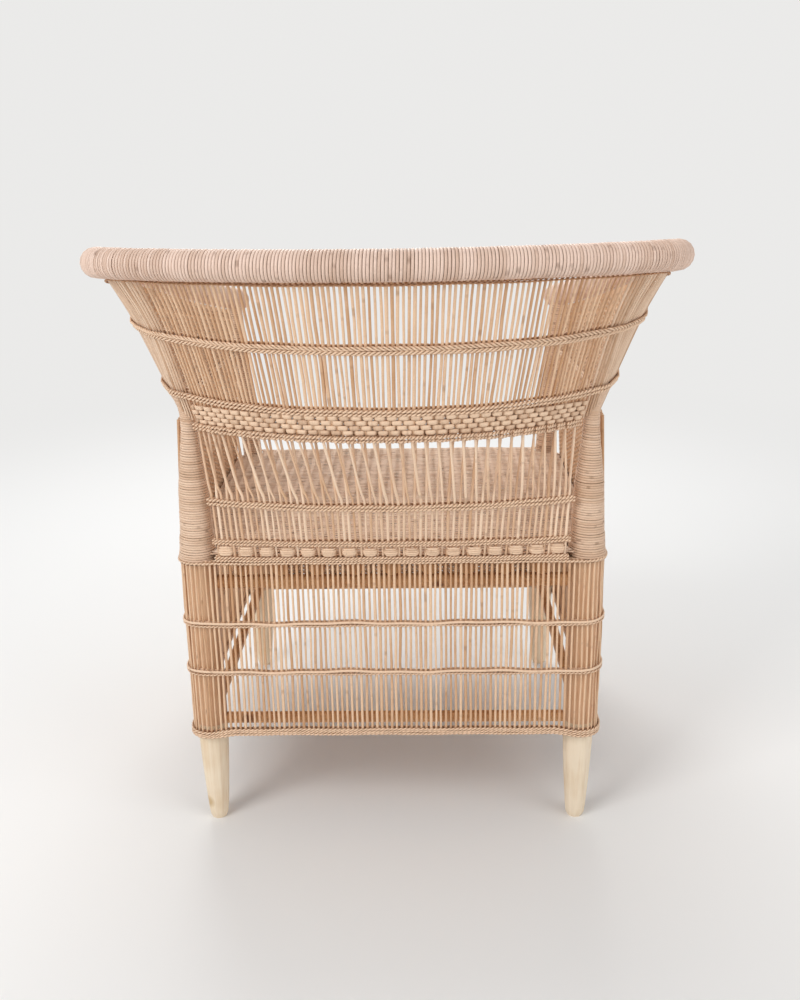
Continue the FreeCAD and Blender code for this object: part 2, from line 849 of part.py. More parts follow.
half_lower = lower_cane / 2
half_upper = upper_cane / 2
band_zone = (both_sides(back_waist), both_sides(half_sag[: len(back_waist)]))
for name, height, tall in (
    ("middle_twine", middle_height, twine_tall),
    ("basket_lower_border", basket_low_height, border_tall),
):
    reach = half_lower + (twist_allowance if height < lattice_low else layer + strand_gap)
    save(name, strand_pair(lower_zone, level(lower_zone, height), reach, tall))
save("basket_upper_border", strand_pair(fan_zone, rising(basket_up_height), half_upper, border_tall))
save("basket_band", strand_pair(band_zone, level(band_zone, basket_height), half_upper, basket_tall))

# The top twine holds the canes where they bend.
knees = crown_zone[0]
knee_leans = []
for foot, knee, head in zip(fan_zone[0], knees, crown_zone[1]):
    knee_leans.append(((knee - foot).normalize() + (head - knee).normalize()).normalize())
near = half_upper + strand_gap + sag_clearance
outer_twine = strip(knees, knee_leans, near, near + strand_out, twine_tall)
near = half_upper + strand_gap
inner_twine = strip(knees, knee_leans, -near - strand_in, -near, twine_tall)
save("top_twine", [outer_twine, inner_twine])

for name, height in (("block_lower_border", block_low_height), ("block_upper_border", block_up_height)):
    reach = half_lower + twist_allowance
    save(name, strand_pair(lower_zone, level(lower_zone, height), reach, block_strand_tall))
blocks = []
for index in range(block_count):
    position = lower_spans * (index + 0.5) / block_count
    foot, head = rung(lower_zone, position)
    lean = (head - foot).normalize()
    outward = surface_out(lower_zone, position, block_height)
    reach = half_lower + twist_allowance + strand_gap + strand_out / 2
    centre = at_height(foot, head, block_height) + outward * reach
    start = square_section(centre - lean * (block_tall / 2), lean, outward, block_wide, strand_out)
    blocks.append(Part.Face(closed_wire(start)).extrude(lean * block_tall))
save("seat_band_blocks", blocks)

# Woven sides: stakes between two skins of weave, below and above the waist.
side_low = []
side_waist_low = []
side_waist_up = []
side_top = []
for index in range(side_span_count + 1):
    share = index / side_span_count
    swell = corner_run_out + side_waist_swell * math.sin(math.pi * share)
    waist_x = post_x + corner_wrap_radius + swell
    reach = side_low_start + share * (leg_spacing_y - side_low_end - side_low_start)
    side_low.append(Vector(skirt_half, rear_y - reach, lower_bottom))
    reach = side_waist_start + share * (leg_spacing_y - side_waist_end - side_waist_start)
    side_waist_low.append(Vector(waist_x, rear_y - reach, waist_height))
    reach = side_upper_start + share * (leg_spacing_y - side_waist_end - side_upper_start)
    side_waist_up.append(Vector(waist_x, rear_y - reach, waist_height))
    side_top.append(roll_point(side_distances[index]))
side_lower_zone = (side_low, side_waist_low)
side_upper_zone = (side_waist_up, side_top)


def skins(zone, low_clear, high_clear):
    # Two thin sheets, one on each face of the stakes.
    half = side_cane / 2
    result = []
    feet, heads = zone
    leans = [(head - foot).normalize() for foot, head in zip(feet, heads)]
    lows = [foot + lean * low_clear for foot, lean in zip(feet, leans)]
    highs = [head - lean * high_clear for head, lean in zip(heads, leans)]
    outs = [between(low, high, 0.5) for low, high in zip(mitred(lows, leans), mitred(highs, leans))]
    for near, far in (
        (half + strand_gap, half + strand_gap + side_sheet_thick),
        (-half - strand_gap - side_sheet_thick, -half - strand_gap),
    ):
        sections = []
        for low, high, out in zip(lows, highs, outs):
            sections.append([low + out * near, low + out * far, high + out * far, high + out * near])
        result.append(ruled_solid(sections))
    return result


def side_stakes(zone, low_clear, roll_above):
    # One stake stands at every fold of the sheets.
    stakes = []
    for position in range(side_span_count + 1):
        foot, head = rung(zone, position)
        run = (head - foot).normalize()
        end = below_roll(zone, position, side_cane / 2) if roll_above else head - run * waist_gap
        stakes.append(cane(foot + run * low_clear, end, facet_out(zone, position), side_cane))
    return stakes


roll_clear = roll_radius + cane_roll_gap
side_group = side_stakes(side_lower_zone, 0, False)
side_group += side_stakes(side_upper_zone, waist_gap, True)
save("side_stakes_left", side_group)
save("side_stakes_right", [mirrored(solid) for solid in side_group])
weave_group = skins(side_lower_zone, side_sheet_low - lower_bottom, side_waist_clear)
weave_group += skins(side_upper_zone, side_upper_clear, roll_clear + side_hole_height)
save("side_weave_left", weave_group)
save("side_weave_right", [mirrored(solid) for solid in weave_group])
twine_heights = level(side_upper_zone, waist_height + side_twine_rise)
waist_twine = strand_pair(side_upper_zone, twine_heights, side_cane / 2, border_tall)
save("side_waist_twine_left", waist_twine)
save("side_waist_twine_right", [mirrored(solid) for solid in waist_twine])

# Wound rear posts about a short stay on the leg.
post_height = post_top - post_bottom
wrap_sections = []
for height_share, radius_share in post_shares:
    centre = Vector(post_x, rear_y, post_bottom + height_share * post_height)
    wrap_sections.append(round_section(centre, post_wrap_radius * radius_share, leg_sides))
stay_foot = Vector(post_x, rear_y, post_bottom)
stay_head = Vector(post_x, rear_y, post_top)
rear_stay = pole(stay_foot, stay_head, post_core_radius)
stay_hole = pole(stay_foot, stay_head, post_core_radius + post_core_gap)
rear_wrap = ruled_solid(wrap_sections).cut(stay_hole).Solids[0]
save("rear_post_wrap_left", [rear_wrap])
save("rear_post_wrap_right", [mirrored(rear_wrap)])
save("back_stay_left", [rear_stay])
save("back_stay_right", [mirrored(rear_stay)])

# Wound front posts that stand on the front legs and meet the arm rolls from below.
arm_index = 0
while arm_points[arm_index + 1].y > front_y:
    arm_index += 1
near, far = arm_points[arm_index], arm_points[arm_index + 1]
post_foot = Vector(leg_x, front_y, post_bottom)
post_head = between(near, far, (near.y - front_y) / (near.y - far.y))
floor_plane = Part.makeBox(
    overall_width, overall_depth, post_bottom, Vector(-overall_width / 2, -overall_depth / 2, 0)
)
clear_sections = roll_sections(dome_points, dome_directions, roll_radius + cane_roll_gap, roll_sides)
clear_roll = ruled_solid(clear_sections)


def trimmed(shape):
    rest = shape.cut(clear_roll).cut(floor_plane)
    return min(rest.Solids, key=lambda solid: solid.BoundBox.ZMin)


sunk = (post_foot - post_head).normalize() * roll_radius
core_post = trimmed(pole(post_foot + sunk, post_head, arm_post_core))
low_section = round_section(post_foot + sunk, arm_post_low_radius, leg_sides)
high_section = round_section(post_head, arm_post_high_radius, leg_sides)
wrap_post = ruled_solid([low_section, high_section])
hole_radius = arm_post_core + post_core_gap
wrap_post = trimmed(wrap_post.cut(pole(post_foot + sunk, post_head, hole_radius)))
save("arm_post_left", [core_post])
save("arm_post_right", [mirrored(core_post)])
save("front_post_wrap_left", [wrap_post])
save("front_post_wrap_right", [mirrored(wrap_post)])
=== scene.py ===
import math

import bpy
import numpy as np
from mathutils import Matrix, Vector


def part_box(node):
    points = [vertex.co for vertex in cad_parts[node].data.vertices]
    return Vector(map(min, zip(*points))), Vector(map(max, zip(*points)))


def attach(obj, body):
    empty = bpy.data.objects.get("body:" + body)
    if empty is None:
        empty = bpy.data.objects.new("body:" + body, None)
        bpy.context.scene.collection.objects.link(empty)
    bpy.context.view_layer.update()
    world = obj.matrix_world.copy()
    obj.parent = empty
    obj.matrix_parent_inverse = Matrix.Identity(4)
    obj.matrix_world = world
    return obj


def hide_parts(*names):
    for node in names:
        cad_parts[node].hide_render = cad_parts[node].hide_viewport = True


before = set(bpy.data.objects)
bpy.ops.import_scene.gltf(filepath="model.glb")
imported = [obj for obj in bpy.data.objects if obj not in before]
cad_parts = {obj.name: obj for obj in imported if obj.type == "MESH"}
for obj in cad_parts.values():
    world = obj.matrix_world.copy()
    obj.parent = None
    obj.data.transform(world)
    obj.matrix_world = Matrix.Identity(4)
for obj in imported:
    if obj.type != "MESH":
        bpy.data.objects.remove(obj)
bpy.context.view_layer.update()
rear_leg_low, rear_leg_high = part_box("rear_leg_left")
front_leg_low, front_leg_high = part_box("front_leg_left")
rear_wrap_low, rear_wrap_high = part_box("rear_post_wrap_left")
seat_low, seat_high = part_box("seat_weave")
leg_x = (rear_leg_low.x + rear_leg_high.x) / 2
rear_y = (rear_leg_low.y + rear_leg_high.y) / 2
front_y = (front_leg_low.y + front_leg_high.y) / 2
post_x = (rear_wrap_low.x + rear_wrap_high.x) / 2
dice = np.random.default_rng(41)
UP = np.array([0.0, 0.0, 1.0])
SIDES = (("left", 1), ("right", -1))


# Reading the frame

def solids_of(node):
    """The corner points of each solid of a node."""
    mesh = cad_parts[node].data
    corners = np.array([v.co for v in mesh.vertices], float)
    keys, index = np.unique(np.round(corners, 5), axis=0, return_inverse=True)
    index = index.ravel()
    owner = list(range(len(keys)))

    def root(i):
        while owner[i] != i:
            owner[i] = owner[owner[i]]
            i = owner[i]
        return i

    for face in mesh.polygons:
        first = root(index[face.vertices[0]])
        for vertex in face.vertices[1:]:
            owner[root(index[vertex])] = first
    groups = {}
    for i in range(len(keys)):
        groups.setdefault(root(i), []).append(keys[i])
    return [np.array(points) for points in groups.values()]


def upright_lines(node):
    """The middle line of each upright cane of a node, from its foot to its head."""
    lines = []
    for points in solids_of(node):
        around = 3 if len(points) == 6 else 4
        points = points[np.argsort(points[:, 2])]
        lines.append(points.reshape(-1, around, 3).mean(1))
    return lines


def ring_centres(node, around):
    """The middle of each ring of corners along a bent pole, from its front or right end."""
    points = solids_of(node)[0]
    start = np.argmin(points[:, 1] + points[:, 0])
    centre = points[start]
    centres = []
    while len(points) >= around:
        order = np.argsort(np.linalg.norm(points - centre, axis=1))
        centre = points[order[:around]].mean(0)
        centres.append(centre)
        points = points[order[around:]]
    return np.array(centres)


# Paths

def unit(vectors):
    return vectors / np.maximum(np.linalg.norm(vectors, axis=-1, keepdims=True), 1e-9)


def lengths(points):
    """How far along a path each of its points lies."""
    return np.concatenate([[0.0], np.cumsum(np.linalg.norm(np.diff(points, axis=0), axis=1))])


def read_at(marks, places, values):
    """Rows of values that are known at some places, read at the marks."""
    return np.stack([np.interp(marks, places, values[:, k]) for k in range(3)], axis=1)


def through(points, count):
    """A smooth path of count points through the given ones, evenly spaced."""
    points = np.asarray(points, float)
    padded = np.vstack([2 * points[0] - points[1], points, 2 * points[-1] - points[-2]])
    fine = []
    for i in range(len(points) - 1):
        a, b, c, d = padded[i:i + 4]
        for t in np.arange(12) / 12:
            fine.append(0.5 * (2 * b + (c - a) * t + (2 * a - 5 * b + 4 * c - d) * t * t
                               + (3 * b - a - 3 * c + d) * t ** 3))
    fine.append(points[-1])
    fine = np.array(fine)
    run = lengths(fine)
    return read_at(np.linspace(0, run[-1], count), run, fine)


def tangents(points, closed=False):
    if closed:
        return unit(np.roll(points, -1, axis=0) - np.roll(points, 1, axis=0))
    return unit(np.gradient(points, axis=0))


def at_height(line, height):
    """Where an upright line passes a height, also a little above or below its ends."""
    if height < line[0][2]:
        low, high = line[0], line[1]
    elif height > line[-1][2]:
        low, high = line[-2], line[-1]
    else:
        i = min(int(np.searchsorted(line[:, 2], height, side="right")) - 1, len(line) - 2)
        low, high = line[i], line[i + 1]
    return low + (high - low) * (height - low[2]) / (high[2] - low[2])


def row_along(lines, heights, closed=False):
    """Points, outward directions and lean of a row that crosses a set of uprights."""
    heights = np.broadcast_to(heights, len(lines))
    points = np.array([at_height(line, z) for line, z in zip(lines, heights)])
    ahead = np.array([at_height(line, z + 0.01) for line, z in zip(lines, heights)])
    outs = unit(np.cross(unit(ahead - points), tangents(points, closed)))
    return points, outs, unit(np.cross(tangents(points, closed), outs))


def longer(points, outs, leans, reach):
    """Carries an open row past its last uprights."""
    for end, inner in ((0, 1), (-1, -2)):
        tip = points[end] + unit(points[end] - points[inner]) * reach
        points = np.vstack([tip, points] if end == 0 else [points, tip])
        outs = np.vstack([outs[:1], outs] if end == 0 else [outs, outs[-1:]])
        leans = np.vstack([leans[:1], leans] if end == 0 else [leans, leans[-1:]])
    return points, outs, leans


def between(values, marks):
    """Values at fractional places along a list of rows."""
    low = np.clip(np.floor(marks).astype(int), 0, len(values) - 2)
    share = (marks - low)[:, None]
    return values[low] * (1 - share) + values[low + 1] * share


def outs_of(lines, closed=False):
    """The outward direction of each upright of a field."""
    middles = np.array([(line[0] + line[-1]) / 2 for line in lines])
    leans = unit(np.array([line[-1] - line[0] for line in lines]))
    return unit(np.cross(leans, tangents(middles, closed)))


# Strands: every cane, rod, ribbon and winding is one of these

def strand(points, faces, size=1.0, tint=None, closed=False):
    """A path, the way its flat side faces, its share of the width and its tint, all along it."""
    points = np.asarray(points, float)
    faces = np.broadcast_to(np.asarray(faces, float), points.shape)
    sizes = np.broadcast_to(np.asarray(size, float), len(points))
    tint = dice.random() if tint is None else tint
    return {"points": points, "faces": faces, "sizes": sizes, "closed": closed,
            "tints": np.broadcast_to(np.asarray(tint, float), len(points))}


def strand_tree():
    """Sweeps a flattened round section along each edge path, with its flat side to the stored direction."""
    tree = bpy.data.node_groups.new("Cane strands", "GeometryNodeTree")
    face = tree.interface
    face.new_socket("Geometry", in_out="INPUT", socket_type="NodeSocketGeometry")
    for name in ("Width", "Thickness"):
        face.new_socket(name, in_out="INPUT", socket_type="NodeSocketFloat")
    face.new_socket("Sides", in_out="INPUT", socket_type="NodeSocketInt")
    face.new_socket("Material", in_out="INPUT", socket_type="NodeSocketMaterial")
    face.new_socket("Geometry", in_out="OUTPUT", socket_type="NodeSocketGeometry")
    new, link = tree.nodes.new, tree.links.new
    start, end = new("NodeGroupInput"), new("NodeGroupOutput")
    to_curve = new("GeometryNodeMeshToCurve")
    turn = new("GeometryNodeSetCurveNormal")
    turn.mode = "FREE"
    direction = new("GeometryNodeInputNamedAttribute")
    direction.data_type = "FLOAT_VECTOR"
    direction.inputs["Name"].default_value = "face"
    size = new("GeometryNodeInputNamedAttribute")
    size.data_type = "FLOAT"
    size.inputs["Name"].default_value = "size"
    section = new("GeometryNodeCurvePrimitiveCircle")
    section.inputs["Radius"].default_value = 0.5
    flatten = new("GeometryNodeTransform")
    scale = new("ShaderNodeCombineXYZ")
    scale.inputs["Z"].default_value = 1.0
    sweep = new("GeometryNodeCurveToMesh")
    sweep.inputs["Fill Caps"].default_value = True
    smooth = new("GeometryNodeSetShadeSmooth")
    real = new("GeometryNodeRealizeInstances")
    paint = new("GeometryNodeSetMaterial")
    link(start.outputs["Geometry"], to_curve.inputs["Mesh"])
    link(to_curve.outputs["Curve"], turn.inputs["Curve"])
    link(direction.outputs["Attribute"], turn.inputs["Normal"])
    link(turn.outputs["Curve"], sweep.inputs["Curve"])
    link(size.outputs["Attribute"], sweep.inputs["Scale"])
    link(start.outputs["Sides"], section.inputs["Resolution"])
    link(start.outputs["Thickness"], scale.inputs["X"])
    link(start.outputs["Width"], scale.inputs["Y"])
    link(section.outputs["Curve"], flatten.inputs["Geometry"])
    link(scale.outputs["Vector"], flatten.inputs["Scale"])
    link(flatten.outputs["Geometry"], sweep.inputs["Profile Curve"])
    link(sweep.outputs["Mesh"], smooth.inputs["Geometry"])
    link(smooth.outputs["Geometry"], real.inputs["Geometry"])
    link(real.outputs["Geometry"], paint.inputs["Geometry"])
    link(start.outputs["Material"], paint.inputs["Material"])
    link(paint.outputs["Geometry"], end.inputs["Geometry"])
    return tree


STRANDS = strand_tree()


def set_inputs(modifier, values):
    for item in modifier.node_group.interface.items_tree:
        if item.in_out == "INPUT" and item.name in values:
            modifier[item.identifier] = values[item.name]


def mounted(piece, nodes):
    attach(piece, "root")
    if nodes:
        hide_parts(*nodes)
    return piece


def path_mesh(name, strands):
    """All strands as edge paths, with what the sweep and the finishes read stored on their points."""
    edges = []
    runs = []
    total = 0
    for item in strands:
        count = len(item["points"])
        runs.append(lengths(item["points"]) + 3.1 * dice.random())
        first = np.arange(total, total + count - 1)
        edges.append(np.stack([first, first + 1], axis=1))
        if item["closed"]:
            edges.append(np.array([[total + count - 1, total]]))
        total += count
    points = np.vstack([item["points"] for item in strands])
    faces = np.vstack([item["faces"] for item in strands])
    mesh = bpy.data.meshes.new(name + ".paths")
    mesh.from_pydata(points.tolist(), np.vstack(edges).tolist(), [])
    mesh.attributes.new("face", "FLOAT_VECTOR", "POINT").data.foreach_set("vector", faces.ravel())
    sizes = [item["sizes"] for item in strands]
    tints = [item["tints"] for item in strands]
    for key, values in (("size", sizes), ("tint", tints), ("along", runs)):
        mesh.attributes.new(key, "FLOAT", "POINT").data.foreach_set("value", np.concatenate(values))
    return mesh


def woven(name, strands, width, thickness, sides, material, nodes=()):
    """Makes one piece of many strands."""
    mesh = path_mesh(name, strands)
    paths = bpy.data.objects.new(name + ".paths", mesh)
    bpy.context.scene.collection.objects.link(paths)
    modifier = paths.modifiers.new("Strands", "NODES")
    modifier.node_group = STRANDS
    set_inputs(modifier, {"Width": width, "Thickness": thickness, "Sides": sides, "Material": material})
    graph = bpy.context.evaluated_depsgraph_get()
    made = bpy.data.meshes.new_from_object(paths.evaluated_get(graph))
    bpy.data.objects.remove(paths)
    bpy.data.meshes.remove(mesh)
    made.name = name
    piece = bpy.data.objects.new(name, made)
    bpy.context.scene.collection.objects.link(piece)
    return mounted(piece, nodes)


# Finishes

BLACK = (0, 0, 0, 1)
WHITE = (1, 1, 1, 1)


def linear(red, green, blue):
    """A colour as a screen shows it, 0 to 255, in the values that shaders take."""
    values = []
    for part in (red, green, blue):
        part = part / 255
        values.append(part / 12.92 if part <= 0.04045 else ((part + 0.055) / 1.055) ** 2.4)
    return (*values, 1.0)


def put(tree, socket, value):
    """Links a socket to another one, or sets it to a value."""
    if isinstance(value, bpy.types.NodeSocket):
        tree.links.new(value, socket)
    else:
        socket.default_value = value


def stored(tree, name):
    """A value that each strand carries along it."""
    node = tree.nodes.new("ShaderNodeAttribute")
    node.attribute_name = name
    return node.outputs["Fac"]


def times(tree, value, factor):
    node = tree.nodes.new("ShaderNodeMath")
    node.operation = "MULTIPLY"
    put(tree, node.inputs[0], value)
    put(tree, node.inputs[1], factor)
    return node.outputs[0]


def place_at(tree, **parts):
    node = tree.nodes.new("ShaderNodeCombineXYZ")
    for axis, value in parts.items():
        put(tree, node.inputs[axis], value)
    return node.outputs["Vector"]


def noise(tree, place, scale, detail):
    node = tree.nodes.new("ShaderNodeTexNoise")
    node.inputs["Scale"].default_value = scale
    node.inputs["Detail"].default_value = detail
    put(tree, node.inputs["Vector"], place)
    return node.outputs["Fac"]


def ramp(tree, value, low, low_colour, high, high_colour):
    """Turns a value into a colour, even below low and above high."""
    node = tree.nodes.new("ShaderNodeValToRGB")
    for element, place, colour in zip(node.color_ramp.elements, (low, high), (low_colour, high_colour)):
        element.position = place
        element.color = colour
    put(tree, node.inputs["Fac"], value)
    return node.outputs["Color"]


def blend(tree, kind, factor, first, second, way="MIX"):
    node = tree.nodes.new("ShaderNodeMix")
    node.data_type = kind
    node.blend_type = way
    for key, value in (("Factor", factor), ("A", first), ("B", second)):
        put(tree, node.inputs[key], value)
    return node.outputs["Result"]


def relief(tree, shader, height, strength, depth):
    node = tree.nodes.new("ShaderNodeBump")
    node.inputs["Strength"].default_value = strength
    node.inputs["Distance"].default_value = depth
    put(tree, node.inputs["Height"], height)
    put(tree, shader.inputs["Normal"], node.outputs["Normal"])


def blank_finish(name, roughness):
    """A new material, its node tree, its shader and the place on the surface."""
    material = bpy.data.materials.new(name)
    material.use_nodes = True
    tree = material.node_tree
    shader = tree.nodes["Principled BSDF"]
    shader.inputs["Roughness"].default_value = roughness
    return material, tree, shader, tree.nodes.new("ShaderNodeTexCoord").outputs["Object"]


def cane_finish(name, pale, deep, mark, streaks=0.5, marks=0.35):
    """Split or round cane: a tint for each strand, streaks along it, brown nodes and flecks. On the woven
    seat the flecks are painted shade, dark dashes for the gaps between strands, and some pieces lower their
    tints along a strand as painted shade in recesses.
    """
    material, tree, shader, surface = blank_finish(name, 0.52)
    shader.inputs["Specular IOR Level"].default_value = 0.35
    tint = stored(tree, "tint")
    along = stored(tree, "along")
    seed = times(tree, tint, 91.7)
    streak = noise(tree, place_at(tree, X=times(tree, along, 22.0), Y=seed), 1.0, 3.0)
    tone = ramp(tree, blend(tree, "FLOAT", streaks, tint, streak), 0.18, linear(*deep), 0.62, linear(*pale))
    fleck = noise(tree, place_at(tree, X=times(tree, along, 55.0), Z=seed), 1.0, 1.0)
    where = ramp(tree, fleck, 0.64, BLACK, 0.74, (marks, marks, marks, 1))
    spotted = blend(tree, "RGBA", where, tone, linear(*mark))
    grain = noise(tree, surface, 620.0, 2.0)
    grain_tone = ramp(tree, grain, 0.3, (0.62, 0.56, 0.5, 1), 0.6, WHITE)
    put(tree, shader.inputs["Base Color"], blend(tree, "RGBA", 0.22, spotted, grain_tone, "MULTIPLY"))
    relief(tree, shader, grain, 0.25, 0.0004)
    return material


def pole_finish(name, pale, deep, knot):
    """Peeled pole: long grain up the pole, blotches and knots."""
    material, tree, shader, surface = blank_finish(name, 0.5)
    stretch = tree.nodes.new("ShaderNodeMapping")
    stretch.inputs["Scale"].default_value = (230.0, 230.0, 9.0)
    put(tree, stretch.inputs["Vector"], surface)
    grain = noise(tree, stretch.outputs["Vector"], 1.0, 5.0)
    blotch = noise(tree, surface, 17.0, 3.0)
    tone = ramp(tree, blend(tree, "FLOAT", 0.5, grain, blotch), 0.38, linear(*deep), 0.58, linear(*pale))
    spots = tree.nodes.new("ShaderNodeTexVoronoi")
    spots.inputs["Scale"].default_value = 13.0
    put(tree, spots.inputs["Vector"], surface)
    knots = ramp(tree, spots.outputs["Distance"], 0.07, WHITE, 0.16, BLACK)
    put(tree, shader.inputs["Base Color"], blend(tree, "RGBA", knots, tone, linear(*knot)))
    relief(tree, shader, grain, 0.35, 0.0008)
    return material


upright_finish = cane_finish("Upright cane", (236, 201, 167), (198, 150, 108), (134, 84, 48))
lower_finish = cane_finish("Lower back cane", (246, 218, 190), (214, 172, 134), (134, 84, 48))
# Painted shade: its deep colour is reached where the tints darken in the recesses of the rows, ribbons and
# blocks.
twined_finish = cane_finish("Twined cane", (238, 206, 176), (160, 114, 78), (128, 82, 50), streaks=0.35)
knot_finish = cane_finish("Brown twined cane", (204, 158, 120), (158, 110, 74), (84, 52, 34))
wound_finish = cane_finish("Wound cane", (238, 211, 194), (198, 163, 138), (116, 76, 50), marks=0.45)
post_finish = cane_finish("Wound post cane", (234, 204, 178), (196, 156, 122), (124, 80, 50), marks=0.5)
split_finish = cane_finish("Split cane", (232, 203, 176), (194, 154, 120), (150, 106, 72))
woven_finish = cane_finish("Woven cane", (216, 180, 146), (172, 130, 96), (104, 62, 38))
# Painted shade: on the seat the dark flecks stand for the gaps between the packed strands.
seat_finish = cane_finish("Woven seat cane", (240, 213, 188), (208, 170, 138), (118, 78, 50), marks=0.5)
# Painted shade: this dark finish stands for the shade inside the windings and inside the seat, where it shows
# between strands.
painted_shade_finish = cane_finish("Shaded inside", (118, 82, 56), (78, 52, 36), (50, 32, 22))
leg_finish = pole_finish("Peeled leg", (234, 196, 158), (210, 164, 124), (132, 84, 50))
foot_finish = pole_finish("Carved foot", (240, 222, 196), (228, 204, 172), (206, 176, 134))
rail_finish = pole_finish("Rail pole", (226, 176, 124), (194, 138, 88), (130, 80, 46))


# Uprights of the back: the fan runs from the right arm round the back to the left arm

upper_cane = 0.0044
lower_cane = 0.0038
split_width, split_thickness = 0.0066, 0.0030
tucked_in = 0.004  # how far the fan's canes and ribbons run on past their last crossing
round_sides = 8

back = sorted(upright_lines("upper_back_canes"), key=lambda line: line[-1][0])
corner_left = sorted(upright_lines("corner_canes_left"), key=lambda line: -line[-1][1])
corner_right = [line * [-1, 1, 1] for line in corner_left][::-1]
fan = corner_right + back + corner_left
fan_outs = outs_of(fan)
lower = sorted(upright_lines("lower_back_canes"), key=lambda line: line[0][0])
lower_outs = outs_of(lower)


def bent_cane(line, count, wobble, size=1.0):
    """An upright with a slight natural wander."""
    path = through(line, count) if len(line) > 2 else np.linspace(line[0], line[-1], count)
    wave = np.sin(np.linspace(0, math.pi * (1 + 2 * dice.random()), count) + 6 * dice.random())
    wave *= np.sin(np.linspace(0, math.pi, count))
    side = unit(np.cross(line[-1] - line[0], [0.0, 1.0, 0.0]))
    path = path + side * (wave * wobble * (dice.random() - 0.5) * 2)[:, None]
    stoutness = 1 + 0.06 * (dice.random() - 0.5)
    swelling = 0.05 * np.sin(np.linspace(0, 9, count) + 6 * dice.random())
    return path, size * (stoutness + swelling)


def upper_canes():
    """Round canes, slimmer toward the corners."""
    corner_count = len(corner_left)
    far_x = abs(back[0][-1][0])
    strands = []
    for line, out in zip(back, fan_outs[corner_count:-corner_count]):
        run = unit(line[-1] - line[0])
        line = np.vstack([line[:1] - run * tucked_in, line[1:-1], line[-1:] + run * tucked_in])
        slim = 1 - 0.24 * (abs(line[-1][0]) / far_x) ** 2
        path, sizes = bent_cane(line, 9, 0.0015, slim * dice.choice([0.78, 0.9, 1.0, 1.05]))
        strands.append(strand(path, out, sizes))
    woven("upper_canes", strands, upper_cane, upper_cane, round_sides, upright_finish,
          ["upper_back_canes"])


def corner_splits(side, lines, outs):
    """Flat splits side by side, narrow at the foot, the narrowest beside the round canes."""
    strands = []
    for i, (line, out) in enumerate(zip(lines, outs)):
        run = unit(line[-1] - line[0])
        path = through([line[0] - run * tucked_in, line[1], line[-1] + run * tucked_in], 9)
        rank = i if side == "left" else len(lines) - 1 - i
        width_share = np.interp(rank / (len(lines) - 1), [0.0, 0.3, 0.6, 1.0], [0.70, 0.80, 1.0, 1.0])
        strands.append(strand(path, out, width_share * np.linspace(0.66, 1.06, 9)))
    woven("corner_splits_" + side, strands, split_width, split_thickness, round_sides, split_finish,
          ["corner_canes_" + side])


def lower_canes():
    """The crossed canes between the seat and the waist."""
    strands = []
    for line, out in zip(lower, lower_outs):
        path, sizes = bent_cane(line, 15, 0.0010, dice.choice([0.80, 0.92, 1.0, 1.08]))
        strands.append(strand(path, out, sizes))
    woven("lower_canes", strands, lower_cane, lower_cane, round_sides, lower_finish,
          ["lower_back_canes"])


upper_canes()
corner_splits("left", corner_left, fan_outs[-len(corner_left):])
corner_splits("right", corner_right, fan_outs[:len(corner_right)])
lower_canes()


# Twined rows: ropes on both faces of the uprights

hem_drop = 0.006  # how much lower the hem and the canes end at the corners
ply_swing = 0.0010  # how far a ply moves in and out as its rope turns
row_wander = 0.0004


def corner_share(points):
    """0 along the sides of the skirt, rising to 1 at its corners."""
    return np.clip((np.abs(points[:, 0]) - 0.235) / 0.035, 0, 1)


def twined(lines, heights, reach, climb, ropes, closed=False, plies=2, stroke=None, past=0.0, dip=0.0,
           steps=6):
    """Ropes of twisted plies, reach from the middle of the uprights on each face. ropes lists (offset, hand).
    Without a stroke length one ply shows at each upright."""
    points, outs, leans = row_along(lines, heights, closed)
    if dip:
        points = points - UP * (dip * corner_share(points))[:, None]
    if closed:
        points, outs, leans = (np.vstack([kind, kind[:1]]) for kind in (points, outs, leans))
    elif past:
        points, outs, leans = longer(points, outs, leans, past)
    run = lengths(points)
    strokes = len(points) - 1 if stroke is None else max(1, round(run[-1] / stroke))
    if closed:
        strokes = plies * round(strokes / plies)
    turn = np.linspace(0, strokes, strokes * steps + 1)
    if closed:
        turn = turn[:-1]
    if stroke is None and not closed:
        marks = turn
    else:
        marks = np.interp(turn * run[-1] / strokes, run, np.arange(len(points)))
    base, out, lean = between(points, marks), unit(between(outs, marks)), unit(between(leans, marks))
    strands = []
    for offset, hand in ropes:
        wander = row_wander * np.sin(turn * 0.31 + 6 * dice.random())
        for face in (1, -1):
            for ply in range(plies):
                angle = 2 * math.pi * (turn + ply) / plies
                side = face * (reach + ply_swing * np.cos(angle))
                rise = offset + wander + climb * hand * np.sin(angle)
                path = base + out * side[:, None] + lean * rise[:, None]
                # Painted shade: a ply's tint darkens as it turns inward into the row, and lightens where it
                # comes outermost.
                tints = (0.36 + 0.16 * dice.random()) * (1 + np.cos(angle))
                strands.append(strand(path, out, 1 + 0.08 * np.sin(turn * 0.9 + 5 * ply), tints, closed))
    return strands


def rising(height):
    """Heights of a row that climbs toward both ends of the fan."""
    end_rise = 0.023
    run = lengths(np.array([line[0] for line in fan]))
    return height + end_rise * abs(2 * run / run[-1] - 1) ** 2.6


